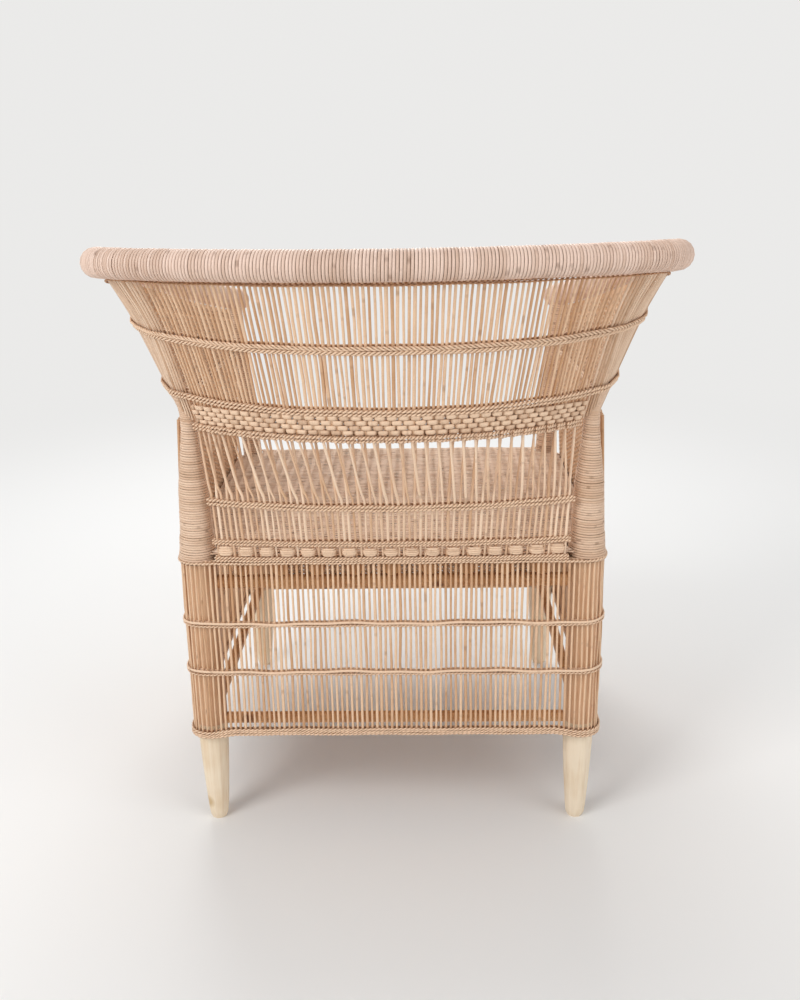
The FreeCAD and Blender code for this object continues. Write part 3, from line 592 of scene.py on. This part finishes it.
rope_thickness = 0.0024
top_ropes = [(0.0030, 1), (-0.0030, -1)]
waist_ropes = [(0.0025, -1), (-0.0025, -1)]
block_ropes = [(0.0020, -1), (-0.0020, -1)]
for name, node, lines, heights, reach, climb, ropes, plies, stroke, width in (
        ("top_twine_rows", "top_twine",
         fan, rising(0.7406), 0.0034, 0.0021, top_ropes, 3, None, 0.0026),
        ("basket_upper_rows", "basket_upper_border",
         fan, rising(0.6564), 0.0036, 0.0014, waist_ropes, 2, None, 0.0027),
        ("basket_lower_rows", "basket_lower_border",
         lower, 0.6200, 0.0052, 0.0014, waist_ropes, 2, 0.0056, 0.0027),
        ("middle_twine_rows", "middle_twine",
         lower, 0.5150, 0.0036, 0.0014, waist_ropes, 2, 0.0056, 0.0027),
        ("block_upper_rows", "block_upper_border",
         lower, 0.4578, 0.0035, 0.0012, block_ropes, 2, 0.0052, 0.0023),
        ("block_lower_rows", "block_lower_border",
         lower, 0.4324, 0.0035, 0.0012, block_ropes, 2, 0.0052, 0.0023)):
    past = 0.006 if lines is lower else 0.0
    woven(name, twined(lines, heights, reach, climb, ropes, plies=plies, stroke=stroke, past=past),
          width, rope_thickness, 6, twined_finish, [node])

# Under the roll a thin brown row ties the heads of the uprights.
head_heights = np.array([line[-1][2] for line in fan]) - 0.0025
woven("roll_seam_row", twined(fan, head_heights, 0.0030, 0.0007, [(0.0, -1)]), 0.0017, 0.0016, 5, knot_finish)


# Basket band: four rows of flat ribbon that show as blocks, set like bricks

def basket_band():
    block_pitch = 0.0152
    ribbon_width, ribbon_thickness = 0.0073, 0.0034
    outside, inside = 0.0034, -0.0010  # where a ribbon's middle lies, on a block and between two
    strands = []
    for row, height in enumerate((0.6286, 0.6356, 0.6426, 0.6496)):
        points, outs, _ = longer(*row_along(back, height), tucked_in)
        run = lengths(points)
        uprights = np.arange(len(points))
        marks = np.interp(np.arange(0, run[-1], block_pitch / 10), run, uprights)
        passed = np.interp(marks, uprights, run) / block_pitch + 0.5 * (row % 2)
        block = passed.astype(int)
        out = unit(between(outs, marks))
        for face, shift in ((1, 0.0), (-1, 0.5)):
            dip = np.clip(np.abs((passed % 1.0 + shift) % 1.0 - 0.5) / 0.5, 0, 1) ** 5
            reach = face * (outside - (outside - inside) * dip)
            # Painted shade: a ribbon's tint darkens where it dips in between two blocks.
            tints = (0.45 + 0.55 * dice.random(block.max() + 1))[block] * (1 - 0.9 * dip)
            path = between(points, marks) + out * reach[:, None]
            strands.append(strand(path, out, 1.0 - 0.25 * dip, tints))
    woven("basket_ribbons", strands, ribbon_width, ribbon_thickness, round_sides, twined_finish,
          ["basket_band"])


basket_band()


# Blocks: four short strands wound over each block of the band behind the seat

def seat_blocks():
    half_length, half_height = 0.0112, 0.0051
    across = np.array([1.0, 0.0, 0.0])
    share = np.linspace(-1, 1, 11)
    strands = []
    for points in sorted(solids_of("seat_band_blocks"), key=lambda points: points[:, 0].mean()):
        centre = points.mean(0)
        near = np.argmin([abs(at_height(line, centre[2])[0] - centre[0]) for line in lower])
        out = lower_outs[near]
        lean = unit(np.cross(across, out))
        lean = lean if lean[2] > 0 else -lean
        for level in (-half_height, -half_height / 3, half_height / 3, half_height):
            bulge = 0.0024 - 0.0058 * np.abs(share) ** 5 - 0.0010 * abs(level) / half_height
            narrow = half_length - 0.0012 * (abs(level) / half_height) ** 2
            rise = level * (1 - 0.20 * share ** 2)
            path = centre + across * (share * narrow)[:, None] + out * bulge[:, None] + lean * rise[:, None]
            # Painted shade: each strand darkens toward the ends of its block, where it dips in.
            strands.append(strand(path, out, 1.0, (0.5 + 0.5 * dice.random()) * (1 - 0.7 * share ** 6)))
    woven("seat_blocks", strands, 0.0035, 0.0024, round_sides, twined_finish, ["seat_band_blocks"])


seat_blocks()


# Skirt

skirt_middle_y = -0.068
rear_skirt_cane = 0.0038
other_skirt_cane = 0.0049


def round_the_chair(line):
    return -math.atan2(line[-1][1] - skirt_middle_y, line[-1][0])


def skirt_side(line):
    """The side of the chair that an upright of the skirt stands on."""
    x, y, _ = line.mean(0)
    if y > rear_y:
        return "rear"
    if y < front_y:
        return "front"
    return "left" if x > 0 else "right"


skirt = []
for side in ("rear", "left", "front", "right"):
    skirt += upright_lines("skirt_canes_" + side)
skirt.sort(key=round_the_chair)
fields = {"rear": [], "left": [], "front": [], "right": []}
for line, out in zip(skirt, outs_of(skirt, True)):
    path, sizes = bent_cane(line, 8, 0.0014, dice.choice([0.80, 0.9, 1.0, 1.06]))
    path[0] -= UP * hem_drop * corner_share(path[:1])[0]
    fields[skirt_side(line)].append(strand(path, out, sizes * (1 - 0.28 * corner_share(path))))
for side, strands in fields.items():
    width = rear_skirt_cane if side == "rear" else other_skirt_cane
    woven("skirt_uprights_" + side, strands, width, width, round_sides, upright_finish,
          ["skirt_canes_" + side])


def skirt_row(name, height, node):
    """A smooth, slightly wavy rod on each face of the uprights, bound by twined stitches below it."""
    rod_height = height + 0.0014
    points, outs, _ = row_along(skirt, rod_height, True)
    count = np.arange(len(points))
    wave = 0.0010 * np.sin(count * 0.23) + 0.0006 * np.sin(count * 0.61 + rod_height * 90)
    points = points + UP * wave[:, None]
    rods = [strand(points + outs * reach, outs, 1.0, 0.85, True) for reach in (0.0036, -0.0036)]
    woven(name, rods, 0.0040, 0.0028, round_sides, twined_finish, [node])
    stitches = twined(skirt, height - 0.0026, 0.0032, 0.0008, [(0.0, -1)], True, stroke=0.0056, steps=4)
    woven(name + "_stitches", stitches, 0.0020, 0.0018, 5, twined_finish)


skirt_row("skirt_row_upper", 0.332, "skirt_upper_twine")
skirt_row("skirt_row_lower", 0.256, "skirt_lower_twine")
hem_ropes = [(0.0036, -1), (0.0, -1), (-0.0036, -1)]
hem = twined(skirt, 0.1600, 0.0034, 0.0011, hem_ropes, True, stroke=0.0064, dip=hem_drop, steps=4)
woven("skirt_hem_rows", hem, 0.0026, 0.0024, 5, twined_finish, ["skirt_hem"])
seam = twined(skirt, 0.4256, 0.0032, 0.0010, [(0.0, -1)], True, stroke=0.0056, steps=4)
woven("seam_strands", seam, 0.0026, 0.0024, 5, twined_finish, ["seam_strand"])


# Windings

def axis_frames(path):
    """Two directions square to a pole's axis, all along it."""
    run = tangents(path)
    level = abs(run[:, 2]).mean() < 0.9
    across = unit(np.cross(run, UP)) if level else np.broadcast_to([1.0, 0.0, 0.0], run.shape)
    return across, unit(np.cross(across, run))


def winding(name, path, radii, pitch, width, thickness, per_turn, material, nodes):
    """Cane wound tightly round a bent pole, as one helix. Its turns lie closer where the pole bends."""
    run = lengths(path)
    bend = np.linalg.norm(np.gradient(tangents(path), axis=0), axis=1) / np.gradient(run)
    bend = np.convolve(bend, np.ones(9) / 9, "same")
    dense = (1 + 0.9 * bend * radii) / pitch
    counted = np.concatenate([[0.0], np.cumsum((dense[1:] + dense[:-1]) / 2 * np.diff(run))])
    turns = int(counted[-1])
    uneven = np.arange(turns + 1) + 0.14 * (dice.random(turns + 1) - 0.5)
    steps = np.arange(turns * per_turn)
    marks = np.interp(np.interp(steps / per_turn, np.arange(turns + 1), uneven), counted, run)
    across, along = (unit(read_at(marks, run, kind)) for kind in axis_frames(path))
    turn = steps // per_turn
    radius = np.interp(marks, run, radii) - thickness / 2
    radius = radius + (dice.random(turns + 1)[turn] - 0.7) * 0.0005
    angle = 2 * math.pi * steps / per_turn
    face = across * np.cos(angle)[:, None] + along * np.sin(angle)[:, None]
    runs_of_turns = np.repeat(dice.random(turns), dice.integers(3, 9, turns))[:turns + 1]
    tints = 0.22 + 0.40 * runs_of_turns[turn] + 0.30 * dice.random(turns + 1)[turn]
    helix = strand(read_at(marks, run, path) + face * radius[:, None], face, 1.0, tints)
    woven(name, [helix], width, thickness, 6, material, nodes)


def core(name, path, radii, sides):
    """A dark tube of painted shade inside a winding, that shows between its turns."""
    across, _ = axis_frames(path)
    woven(name, [strand(path, across, radii * 2, 0.5)], 1.0, 1.0, sides, painted_shade_finish, ())


# Roll: one winding from the front of one arm round the back to the front of the other

roll_radius = 0.0198
arm = ring_centres("arm_rail_left", 6)
if arm[0][1] < arm[-1][1]:
    arm = arm[::-1]
top = ring_centres("top_rail", 6)
if top[0][0] > top[-1][0]:
    top = top[::-1]
arm_run = unit(arm[-1] - arm[-2])
arm_tip = arm[-1] + arm_run * 0.0118
left_arm = np.vstack([arm, arm_tip])


def roll():
    """The winding, with rounded ends."""
    rounded, tip_share = 0.014, 0.55
    path = through(np.vstack([left_arm[::-1] * [-1, 1, 1], top[1:-1], left_arm]), 900)
    run = lengths(path)
    from_end = np.minimum(run, run[-1] - run)
    curve = np.sqrt(np.clip(1 - (1 - np.clip(from_end / rounded, 0, 1)) ** 2, 0, 1))
    radii = roll_radius * (tip_share + (1 - tip_share) * curve)
    winding("roll_winding", path, radii, 0.0043, 0.0041, 0.0023, 16, wound_finish,
            ["top_roll_wrap", "arm_roll_wrap_left", "arm_roll_wrap_right"])
    core("roll_shade_core", path[::4], radii[::4] - 0.0018, 20)


def roll_end_coils():
    """A flat coil closes each end of the roll."""
    inner_radius, coil_width, coil_turns, set_back = 0.0006, 0.0114, 4.6, 0.0028
    share = np.linspace(0, 1, 90)
    angle = 2 * math.pi * coil_turns * share
    radius = (inner_radius + coil_width * share)[:, None]
    coils = []
    for _, sign in SIDES:
        run = arm_run * [sign, 1, 1]
        across = unit(np.cross(run, UP))
        along = np.cross(across, run)
        ring = (across * np.cos(angle)[:, None] + along * np.sin(angle)[:, None]) * radius
        path = arm_tip * [sign, 1, 1] + ring - run * (set_back * share ** 2)[:, None]
        coils.append(strand(path, run, 1.0, 0.6 + 0.4 * np.sin(9 * share)))
    woven("roll_end_coils", coils, 0.0038, 0.0026, 6, wound_finish, ())


roll()
roll_end_coils()


# Posts

rear_post_radius = 0.026
rear_post_shares = np.array([(-0.03, 1.09), (0.02, 1.05), (0.055, 1.0), (0.13, 0.97), (0.155, 0.92),
                             (0.46, 0.815), (0.7, 0.56), (0.83, 0.445), (1.0, 0.438)])
front_post_foot, front_post_head = 0.018, 0.0142
arm_post_radius = 0.009
flare_start, flare_end = 0.90, 1.085


def rear_post(side, sign):
    """Stout at the seat, slim at the waist, and flared where it runs into the corner splits."""
    levels = np.linspace(-0.030, flare_end, 90)
    flare = np.clip((levels - flare_start) / (flare_end - flare_start), 0, 1) ** 2
    path = np.stack([sign * post_x + sign * 0.0085 * flare,
                     (rear_wrap_low.y + rear_wrap_high.y) / 2 + 0.006 * flare,
                     rear_wrap_low.z + levels * (rear_wrap_high.z - rear_wrap_low.z)], axis=1)
    girth = np.interp(levels, rear_post_shares[:, 0], rear_post_shares[:, 1])
    radii = rear_post_radius * girth + 0.0035 * flare
    winding("rear_post_winding_" + side, path, radii, 0.0035, 0.0036, 0.0020, 20, post_finish,
            ["rear_post_wrap_" + side])
    core("rear_post_core_" + side, path[::3], radii[::3] - 0.0016, 18)


def front_post(side, sign):
    """Leans out from the leg to the arm, and ends inside the roll."""
    foot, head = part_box("arm_post_left")
    low = np.array([sign * leg_x, front_y, foot.z])
    high = np.array([sign * (head.x - arm_post_radius), front_y, head.z])
    levels = np.linspace(0, 1.035, 62)
    path = low + levels[:, None] * (high - low)
    radii = np.linspace(front_post_foot, front_post_head, len(levels))
    winding("front_post_winding_" + side, path, radii, 0.0036, 0.0036, 0.0020, 18, post_finish,
            ["front_post_wrap_" + side])
    core("front_post_core_" + side, path[::3], radii[::3] - 0.0015, 16)


for side, sign in SIDES:
    rear_post(side, sign)
    front_post(side, sign)


# Sides: horizontal strands over and under the stakes

stake_count = 48
stake_width = 0.0034
side_pitch = 0.0037
side_split_z = 0.5
side_reach = 0.0016  # how far a strand swings over and under the stakes
open_row = 6  # counted from the top, the row that is left out under the roll

stakes = sorted(upright_lines("side_stakes_left"), key=lambda line: -line[0][1])
lower_stakes = [line for line in stakes if line[0][2] < side_split_z]
upper_stakes = [line for line in stakes if line[0][2] > side_split_z]


def side_surface(lines):
    """The feet and heads of evenly spaced stakes, and the way that they face."""
    feet = through([line[0] for line in lines], stake_count)
    heads = through([line[-1] for line in lines], stake_count)
    return feet, heads, unit(np.cross(heads - feet, tangents(feet)))


def side_weave(name, lines, top_share, nodes, sign, left_out=None):
    """Rows over and under the stakes, from their feet up to top_share of their height."""
    feet, heads, _ = side_surface(lines)
    feet[-1], heads[-1] = 1.4 * feet[-1] - 0.4 * feet[-2], 1.4 * heads[-1] - 0.4 * heads[-2]
    spans = np.linalg.norm(heads - feet, axis=1)
    rows = int(spans.mean() * top_share / side_pitch)
    marks = np.linspace(0, stake_count - 1, (stake_count - 1) * 2 + 1)
    out = unit(between(unit(np.cross(heads - feet, tangents(feet))), marks))
    spread = between(spans[:, None], marks)[:, 0] * top_share / rows / side_pitch
    strands = []
    for row in range(rows):
        if rows - row == left_out:
            continue
        base = between(feet + (heads - feet) * (top_share * (row + 0.5) / rows), marks)
        weave = np.cos(math.pi * (marks + row % 2)) * side_reach
        path = (base + out * weave[:, None]) * [sign, 1, 1]
        strands.append(strand(path, out * [sign, 1, 1], spread, 0.7 * dice.random() + 0.3 * (row / rows)))
    woven(name, strands, side_pitch * 1.18, 0.0019, 5, woven_finish, nodes)


def side_stakes(name, lines, nodes, sign):
    """Round stakes, stouter at both edges."""
    strands = []
    for i, (foot, head, out) in enumerate(zip(*side_surface(lines))):
        path = np.linspace(foot, head, 6) * [sign, 1, 1]
        strands.append(strand(path, out * [sign, 1, 1], 1.45 if i in (0, stake_count - 1) else 1.0))
    woven(name, strands, stake_width, stake_width, 6, upright_finish, nodes)


def side_waist(side, sign):
    """The waist row carried on round the side."""
    feet, heads, _ = side_surface(upper_stakes)
    lines = [np.array([foot, head]) for foot, head in zip(feet, heads)]
    strands = twined(lines, 0.6288, 0.0030, 0.0012, [(0.0024, 1), (-0.0024, 1)], past=0.004)
    for item in strands:
        item["points"] = item["points"] * [sign, 1, 1]
        item["faces"] = item["faces"] * [sign, 1, 1]
    woven("side_waist_rows_" + side, strands, 0.0029, 0.0022, 6, twined_finish, ["side_waist_twine_" + side])


for side, sign in SIDES:
    side_weave("side_weave_lower_" + side, lower_stakes, 1.0, ["side_weave_" + side], sign)
    side_weave("side_weave_upper_" + side, upper_stakes, 0.94, (), sign, open_row)
    side_stakes("side_stakes_lower_" + side, lower_stakes, ["side_stakes_" + side], sign)
    side_stakes("side_stakes_upper_" + side, upper_stakes, (), sign)
    side_waist(side, sign)


# Seat: packed strands from side to side over a dark core, a sheet of painted shade that shows between them

rear_clear, front_clear = 0.028, 0.021  # from the middle of a post to the weave
core_gap = 0.003  # from the weave's cut round a post to the core's


def seat_rows(height, pitch, half_period, lift):
    """One face of the seat: wandering strands cut round the posts, rounded at the front and back."""
    strands = []
    count = int((seat_high.y - seat_low.y - 0.004) / pitch)
    for row in range(count):
        y = seat_low.y + 0.002 + pitch * (row + 0.5)
        reach = seat_high.x - 0.002
        for post_y, clear in ((rear_y, rear_clear), (front_y, front_clear)):
            gap = abs(y - post_y)
            if gap < clear:
                reach = min(reach, post_x - math.sqrt(clear ** 2 - gap ** 2))
        steps = int(2 * reach / half_period) * 2
        xs = np.linspace(-reach, reach, steps + 1)
        weave = np.cos(math.pi * (xs + 10 + half_period * (row % 2)) / half_period)
        z = height + lift * weave + 0.0005 * np.sin(xs * 31 + y * 57)
        ys = y + 0.0009 * np.sin(xs * 38 + y * 23) * np.clip((reach - np.abs(xs)) / 0.02, 0, 1)
        tight = 1 - 0.45 * (dice.random(len(xs)) < 0.07)
        rounding = 1 - np.clip(min(y - seat_low.y, seat_high.y - y) / 0.012, 0, 1)
        path = np.stack([xs, ys, z - math.copysign(0.0035, lift) * rounding ** 2], axis=1)
        # Painted shade: the tint runs darker toward the back of the seat, where the back shades it.
        strands.append(strand(path, UP, tight, 0.75 * dice.random() + 0.25 * (rear_y - y) / 0.5))
    return strands


woven("seat_top_strands", seat_rows(seat_high.z - 0.0022, 0.0040, 0.0160, 0.0007),
      0.0042, 0.0022, 5, seat_finish, ["seat_weave"])
woven("seat_under_strands", seat_rows(seat_low.z + 0.0022, 0.0044, 0.0230, -0.0010),
      0.0045, 0.0020, 5, woven_finish, ())

front_cut_x, front_cut_y = post_x - front_clear - core_gap, front_y + front_clear + core_gap
rear_cut_x, rear_cut_y = post_x - rear_clear - core_gap, rear_y - rear_clear - core_gap


def seat_shade_core():
    """A closed flat block of painted shade, cut out round the four posts."""
    side_x, front_edge, rear_edge = seat_high.x - 0.003, seat_low.y + 0.0075, seat_high.y - 0.0075
    half = [(front_cut_x, front_edge), (front_cut_x, front_cut_y), (side_x, front_cut_y),
            (side_x, rear_cut_y), (rear_cut_x, rear_cut_y), (rear_cut_x, rear_edge)]
    plan = half + [(-x, y) for x, y in reversed(half)]
    count = len(plan)
    vertices = [(x, y, z) for z in (seat_low.z + 0.0022, seat_high.z - 0.0026) for x, y in plan]
    faces = [tuple(range(count))[::-1], tuple(range(count, 2 * count))]
    faces += [(i, (i + 1) % count, count + (i + 1) % count, count + i) for i in range(count)]
    mesh = bpy.data.meshes.new("seat_shade_core")
    mesh.from_pydata(vertices, [], faces)
    for key in ("tint", "along"):
        mesh.attributes.new(key, "FLOAT", "POINT").data.foreach_set("value", np.full(len(vertices), 0.4))
    mesh.materials.append(painted_shade_finish)
    piece = bpy.data.objects.new("seat_shade_core", mesh)
    bpy.context.scene.collection.objects.link(piece)
    mounted(piece, ())


def seat_edge():
    """Strands one above another round the rim of the seat and round its cuts."""
    inset = 0.0014
    strands = []
    for level in np.arange(seat_low.z + 0.0016, seat_high.z - 0.002, 0.0038):
        for y, reach in ((seat_low.y + inset, 0.252), (seat_high.y - inset, 0.244)):
            xs = np.linspace(-reach, reach, 60)
            path = np.stack([xs, y + 0.0005 * np.cos(xs * 200 + level * 800), np.full(60, level)], axis=1)
            strands.append(strand(path, [0.0, 1.0, 0.0]))
        for x in (seat_low.x + inset, seat_high.x - inset):
            ys = np.linspace(front_y + front_clear, rear_y - rear_clear, 50)
            path = np.stack([x + 0.0005 * np.cos(ys * 200 + level * 800), ys, np.full(50, level)], axis=1)
            strands.append(strand(path, [1.0, 0.0, 0.0]))
            for y, inner in ((front_cut_y - 0.0015, front_cut_x), (rear_cut_y + 0.0015, rear_cut_x)):
                xs = math.copysign(1, x) * np.linspace(inner, abs(x), 12)
                path = np.stack([xs, np.full(12, y), np.full(12, level)], axis=1)
                strands.append(strand(path, [0.0, 1.0, 0.0]))
    woven("seat_edge_strands", strands, 0.0040, 0.0022, 5, seat_finish, ())


def front_apron():
    """The closed sheet behind the front skirt canes."""
    low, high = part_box("front_apron_weave")
    row_count, points_along = 65, 89
    xs = np.linspace(low.x, high.x, points_along)
    strands = []
    for row, z in enumerate(np.linspace(low.z + 0.002, high.z - 0.002, row_count)):
        weave = np.cos(math.pi * (np.arange(points_along) / 2 + row % 2)) * 0.0012
        path = np.stack([xs, (low.y + high.y) / 2 + weave, np.full(points_along, z)], axis=1)
        strands.append(strand(path, [0.0, -1.0, 0.0]))
    woven("front_apron_strands", strands, 0.0042, 0.0018, 5, woven_finish,
          ["front_apron_weave"])


seat_shade_core()
seat_edge()
front_apron()


# Legs, rails, stretchers and slats

leg_radius = 0.0225
foot_length = 0.15
foot_shares = np.array([(0.0, 0.5), (0.035, 0.62), (0.11, 0.68), (0.45, 0.84), (0.8, 0.955), (1.0, 1.0)])
carved_top = 0.158
carved_fade = 0.02
facets = 9


def leg(name, centre_x, centre_y):
    """A round pole whose foot tapers and is carved to flat facets."""
    _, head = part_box(name)
    z = np.concatenate([np.linspace(0, foot_length, 26), np.linspace(0.165, head.z, 14)])
    share = np.clip(z / foot_length, 0, 1)
    radii = leg_radius * np.interp(share, foot_shares[:, 0], foot_shares[:, 1])
    path = np.stack([np.full(len(z), centre_x), np.full(len(z), centre_y), z], axis=1)
    piece = woven(name + "_pole", [strand(path, [1.0, 0.0, 0.0], radii * 2, 0.5)], 1.0, 1.0, 4 * facets,
                  leg_finish, [name])
    piece.data.materials.append(foot_finish)
    for vertex in piece.data.vertices:
        x, y = vertex.co.x - centre_x, vertex.co.y - centre_y
        from_facet = ((math.atan2(y, x) / (2 * math.pi) * facets) % 1 - 0.5) * 2 * math.pi / facets
        carved = np.clip((carved_top - vertex.co.z) / carved_fade, 0, 1)
        shrink = 1 + carved * (math.cos(math.pi / facets) / math.cos(from_facet) - 1)
        vertex.co.x, vertex.co.y = centre_x + x * shrink, centre_y + y * shrink
    for polygon in piece.data.polygons:
        if polygon.center.z < carved_top:
            polygon.material_index = 1


for end, y in (("rear", rear_y), ("front", front_y)):
    for side, sign in SIDES:
        leg(end + "_leg_" + side, sign * leg_x, y)

plain_poles = ("seat_rail", "stretcher", "seat_slats", "back_stay", "arm_post", "arm_rail", "top_rail")
for node in sorted(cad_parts):
    if node.startswith(plain_poles):
        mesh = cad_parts[node].data
        mesh.materials.clear()
        mesh.materials.append(rail_finish)


# Floor, light and camera

backdrop = (0.83, 0.825, 0.815, 1)


def seen_rays(tree):
    """1 for what the camera sees, directly, mirrored or through glass."""
    ray = tree.nodes.new("ShaderNodeLightPath")
    total = ray.outputs["Is Camera Ray"]
    for kind in ("Is Glossy Ray", "Is Transmission Ray"):
        either = tree.nodes.new("ShaderNodeMath")
        either.operation = "MAXIMUM"
        put(tree, either.inputs[0], total)
        put(tree, either.inputs[1], ray.outputs[kind])
        total = either.outputs[0]
    return total


def shaders_blended(tree, share, first, second):
    node = tree.nodes.new("ShaderNodeMixShader")
    put(tree, node.inputs["Fac"], share)
    put(tree, node.inputs[1], first)
    put(tree, node.inputs[2], second)
    return node.outputs["Shader"]


def plain_floor():
    """A pale floor that fades into the backdrop away from the chair, only where it is seen."""
    mesh = bpy.data.meshes.new("floor")
    mesh.from_pydata([(-9, -9, 0), (9, -9, 0), (9, 9, 0), (-9, 9, 0)], [], [(0, 1, 2, 3)])
    floor = bpy.data.objects.new("floor", mesh)
    bpy.context.scene.collection.objects.link(floor)
    material, tree, lit, surface = blank_finish("Floor", 0.9)
    lit.inputs["Base Color"].default_value = (0.84, 0.835, 0.82, 1)
    lit.inputs["Specular IOR Level"].default_value = 0.1
    far_off = tree.nodes.new("ShaderNodeEmission")
    far_off.inputs["Color"].default_value = backdrop
    distance = tree.nodes.new("ShaderNodeVectorMath")
    distance.operation = "LENGTH"
    put(tree, distance.inputs[0], surface)
    fade = tree.nodes.new("ShaderNodeMapRange")
    fade.interpolation_type = "SMOOTHSTEP"
    fade.inputs["From Min"].default_value = 0.9
    fade.inputs["From Max"].default_value = 3.2
    put(tree, fade.inputs["Value"], distance.outputs["Value"])
    share = times(tree, fade.outputs["Result"], seen_rays(tree))
    blended = shaders_blended(tree, share, lit.outputs["BSDF"], far_off.outputs["Emission"])
    put(tree, tree.nodes["Material Output"].inputs["Surface"], blended)
    mesh.materials.append(material)


def soft_world():
    """Soft light from all round, and a plain backdrop where it is seen."""
    world = bpy.data.worlds.new("World")
    world.use_nodes = True
    tree = world.node_tree
    soft = tree.nodes["Background"]
    soft.inputs["Color"].default_value = (0.94, 0.95, 0.97, 1)
    soft.inputs["Strength"].default_value = 0.55
    plain = tree.nodes.new("ShaderNodeBackground")
    plain.inputs["Color"].default_value = backdrop
    plain.inputs["Strength"].default_value = 1.0
    blended = shaders_blended(tree, seen_rays(tree), soft.outputs["Background"], plain.outputs["Background"])
    put(tree, tree.nodes["World Output"].inputs["Surface"], blended)
    bpy.context.scene.world = world


def lamp(name, place, power, size):
    """A square lamp aimed at the middle of the chair."""
    light = bpy.data.lights.new(name, "AREA")
    light.energy = power
    light.size = size
    piece = bpy.data.objects.new(name, light)
    bpy.context.scene.collection.objects.link(piece)
    piece.location = place
    aim = np.array((0, 0, 0.45)) - np.array(place)
    piece.rotation_mode = "QUATERNION"
    piece.rotation_quaternion = Vector(aim).to_track_quat("-Z", "Y")


def photo_camera():
    camera = bpy.data.cameras.new("camera")
    camera.sensor_width = 36.0
    camera.lens = 38.88
    view = bpy.data.objects.new("camera", camera)
    bpy.context.scene.collection.objects.link(view)
    view.location = (-0.043, 1.633, 0.967)
    yaw = Matrix.Rotation(math.radians(180 + 1.2), 4, "Z")
    pitch = Matrix.Rotation(math.radians(90 - 17.7), 4, "X")
    tilt = Matrix.Rotation(math.radians(-0.9), 4, "Z")
    view.rotation_mode = "QUATERNION"
    view.rotation_quaternion = (yaw @ pitch @ tilt).to_quaternion()
    bpy.context.scene.camera = view


plain_floor()
soft_world()
lamp("key", (2.1, 2.3, 2.4), 55, 1.5)
lamp("fill", (-2.4, 1.9, 1.7), 23, 2.2)
lamp("front", (0.3, -2.4, 2.7), 60, 2.0)
photo_camera()
bpy.context.scene.view_settings.view_transform = "Standard"
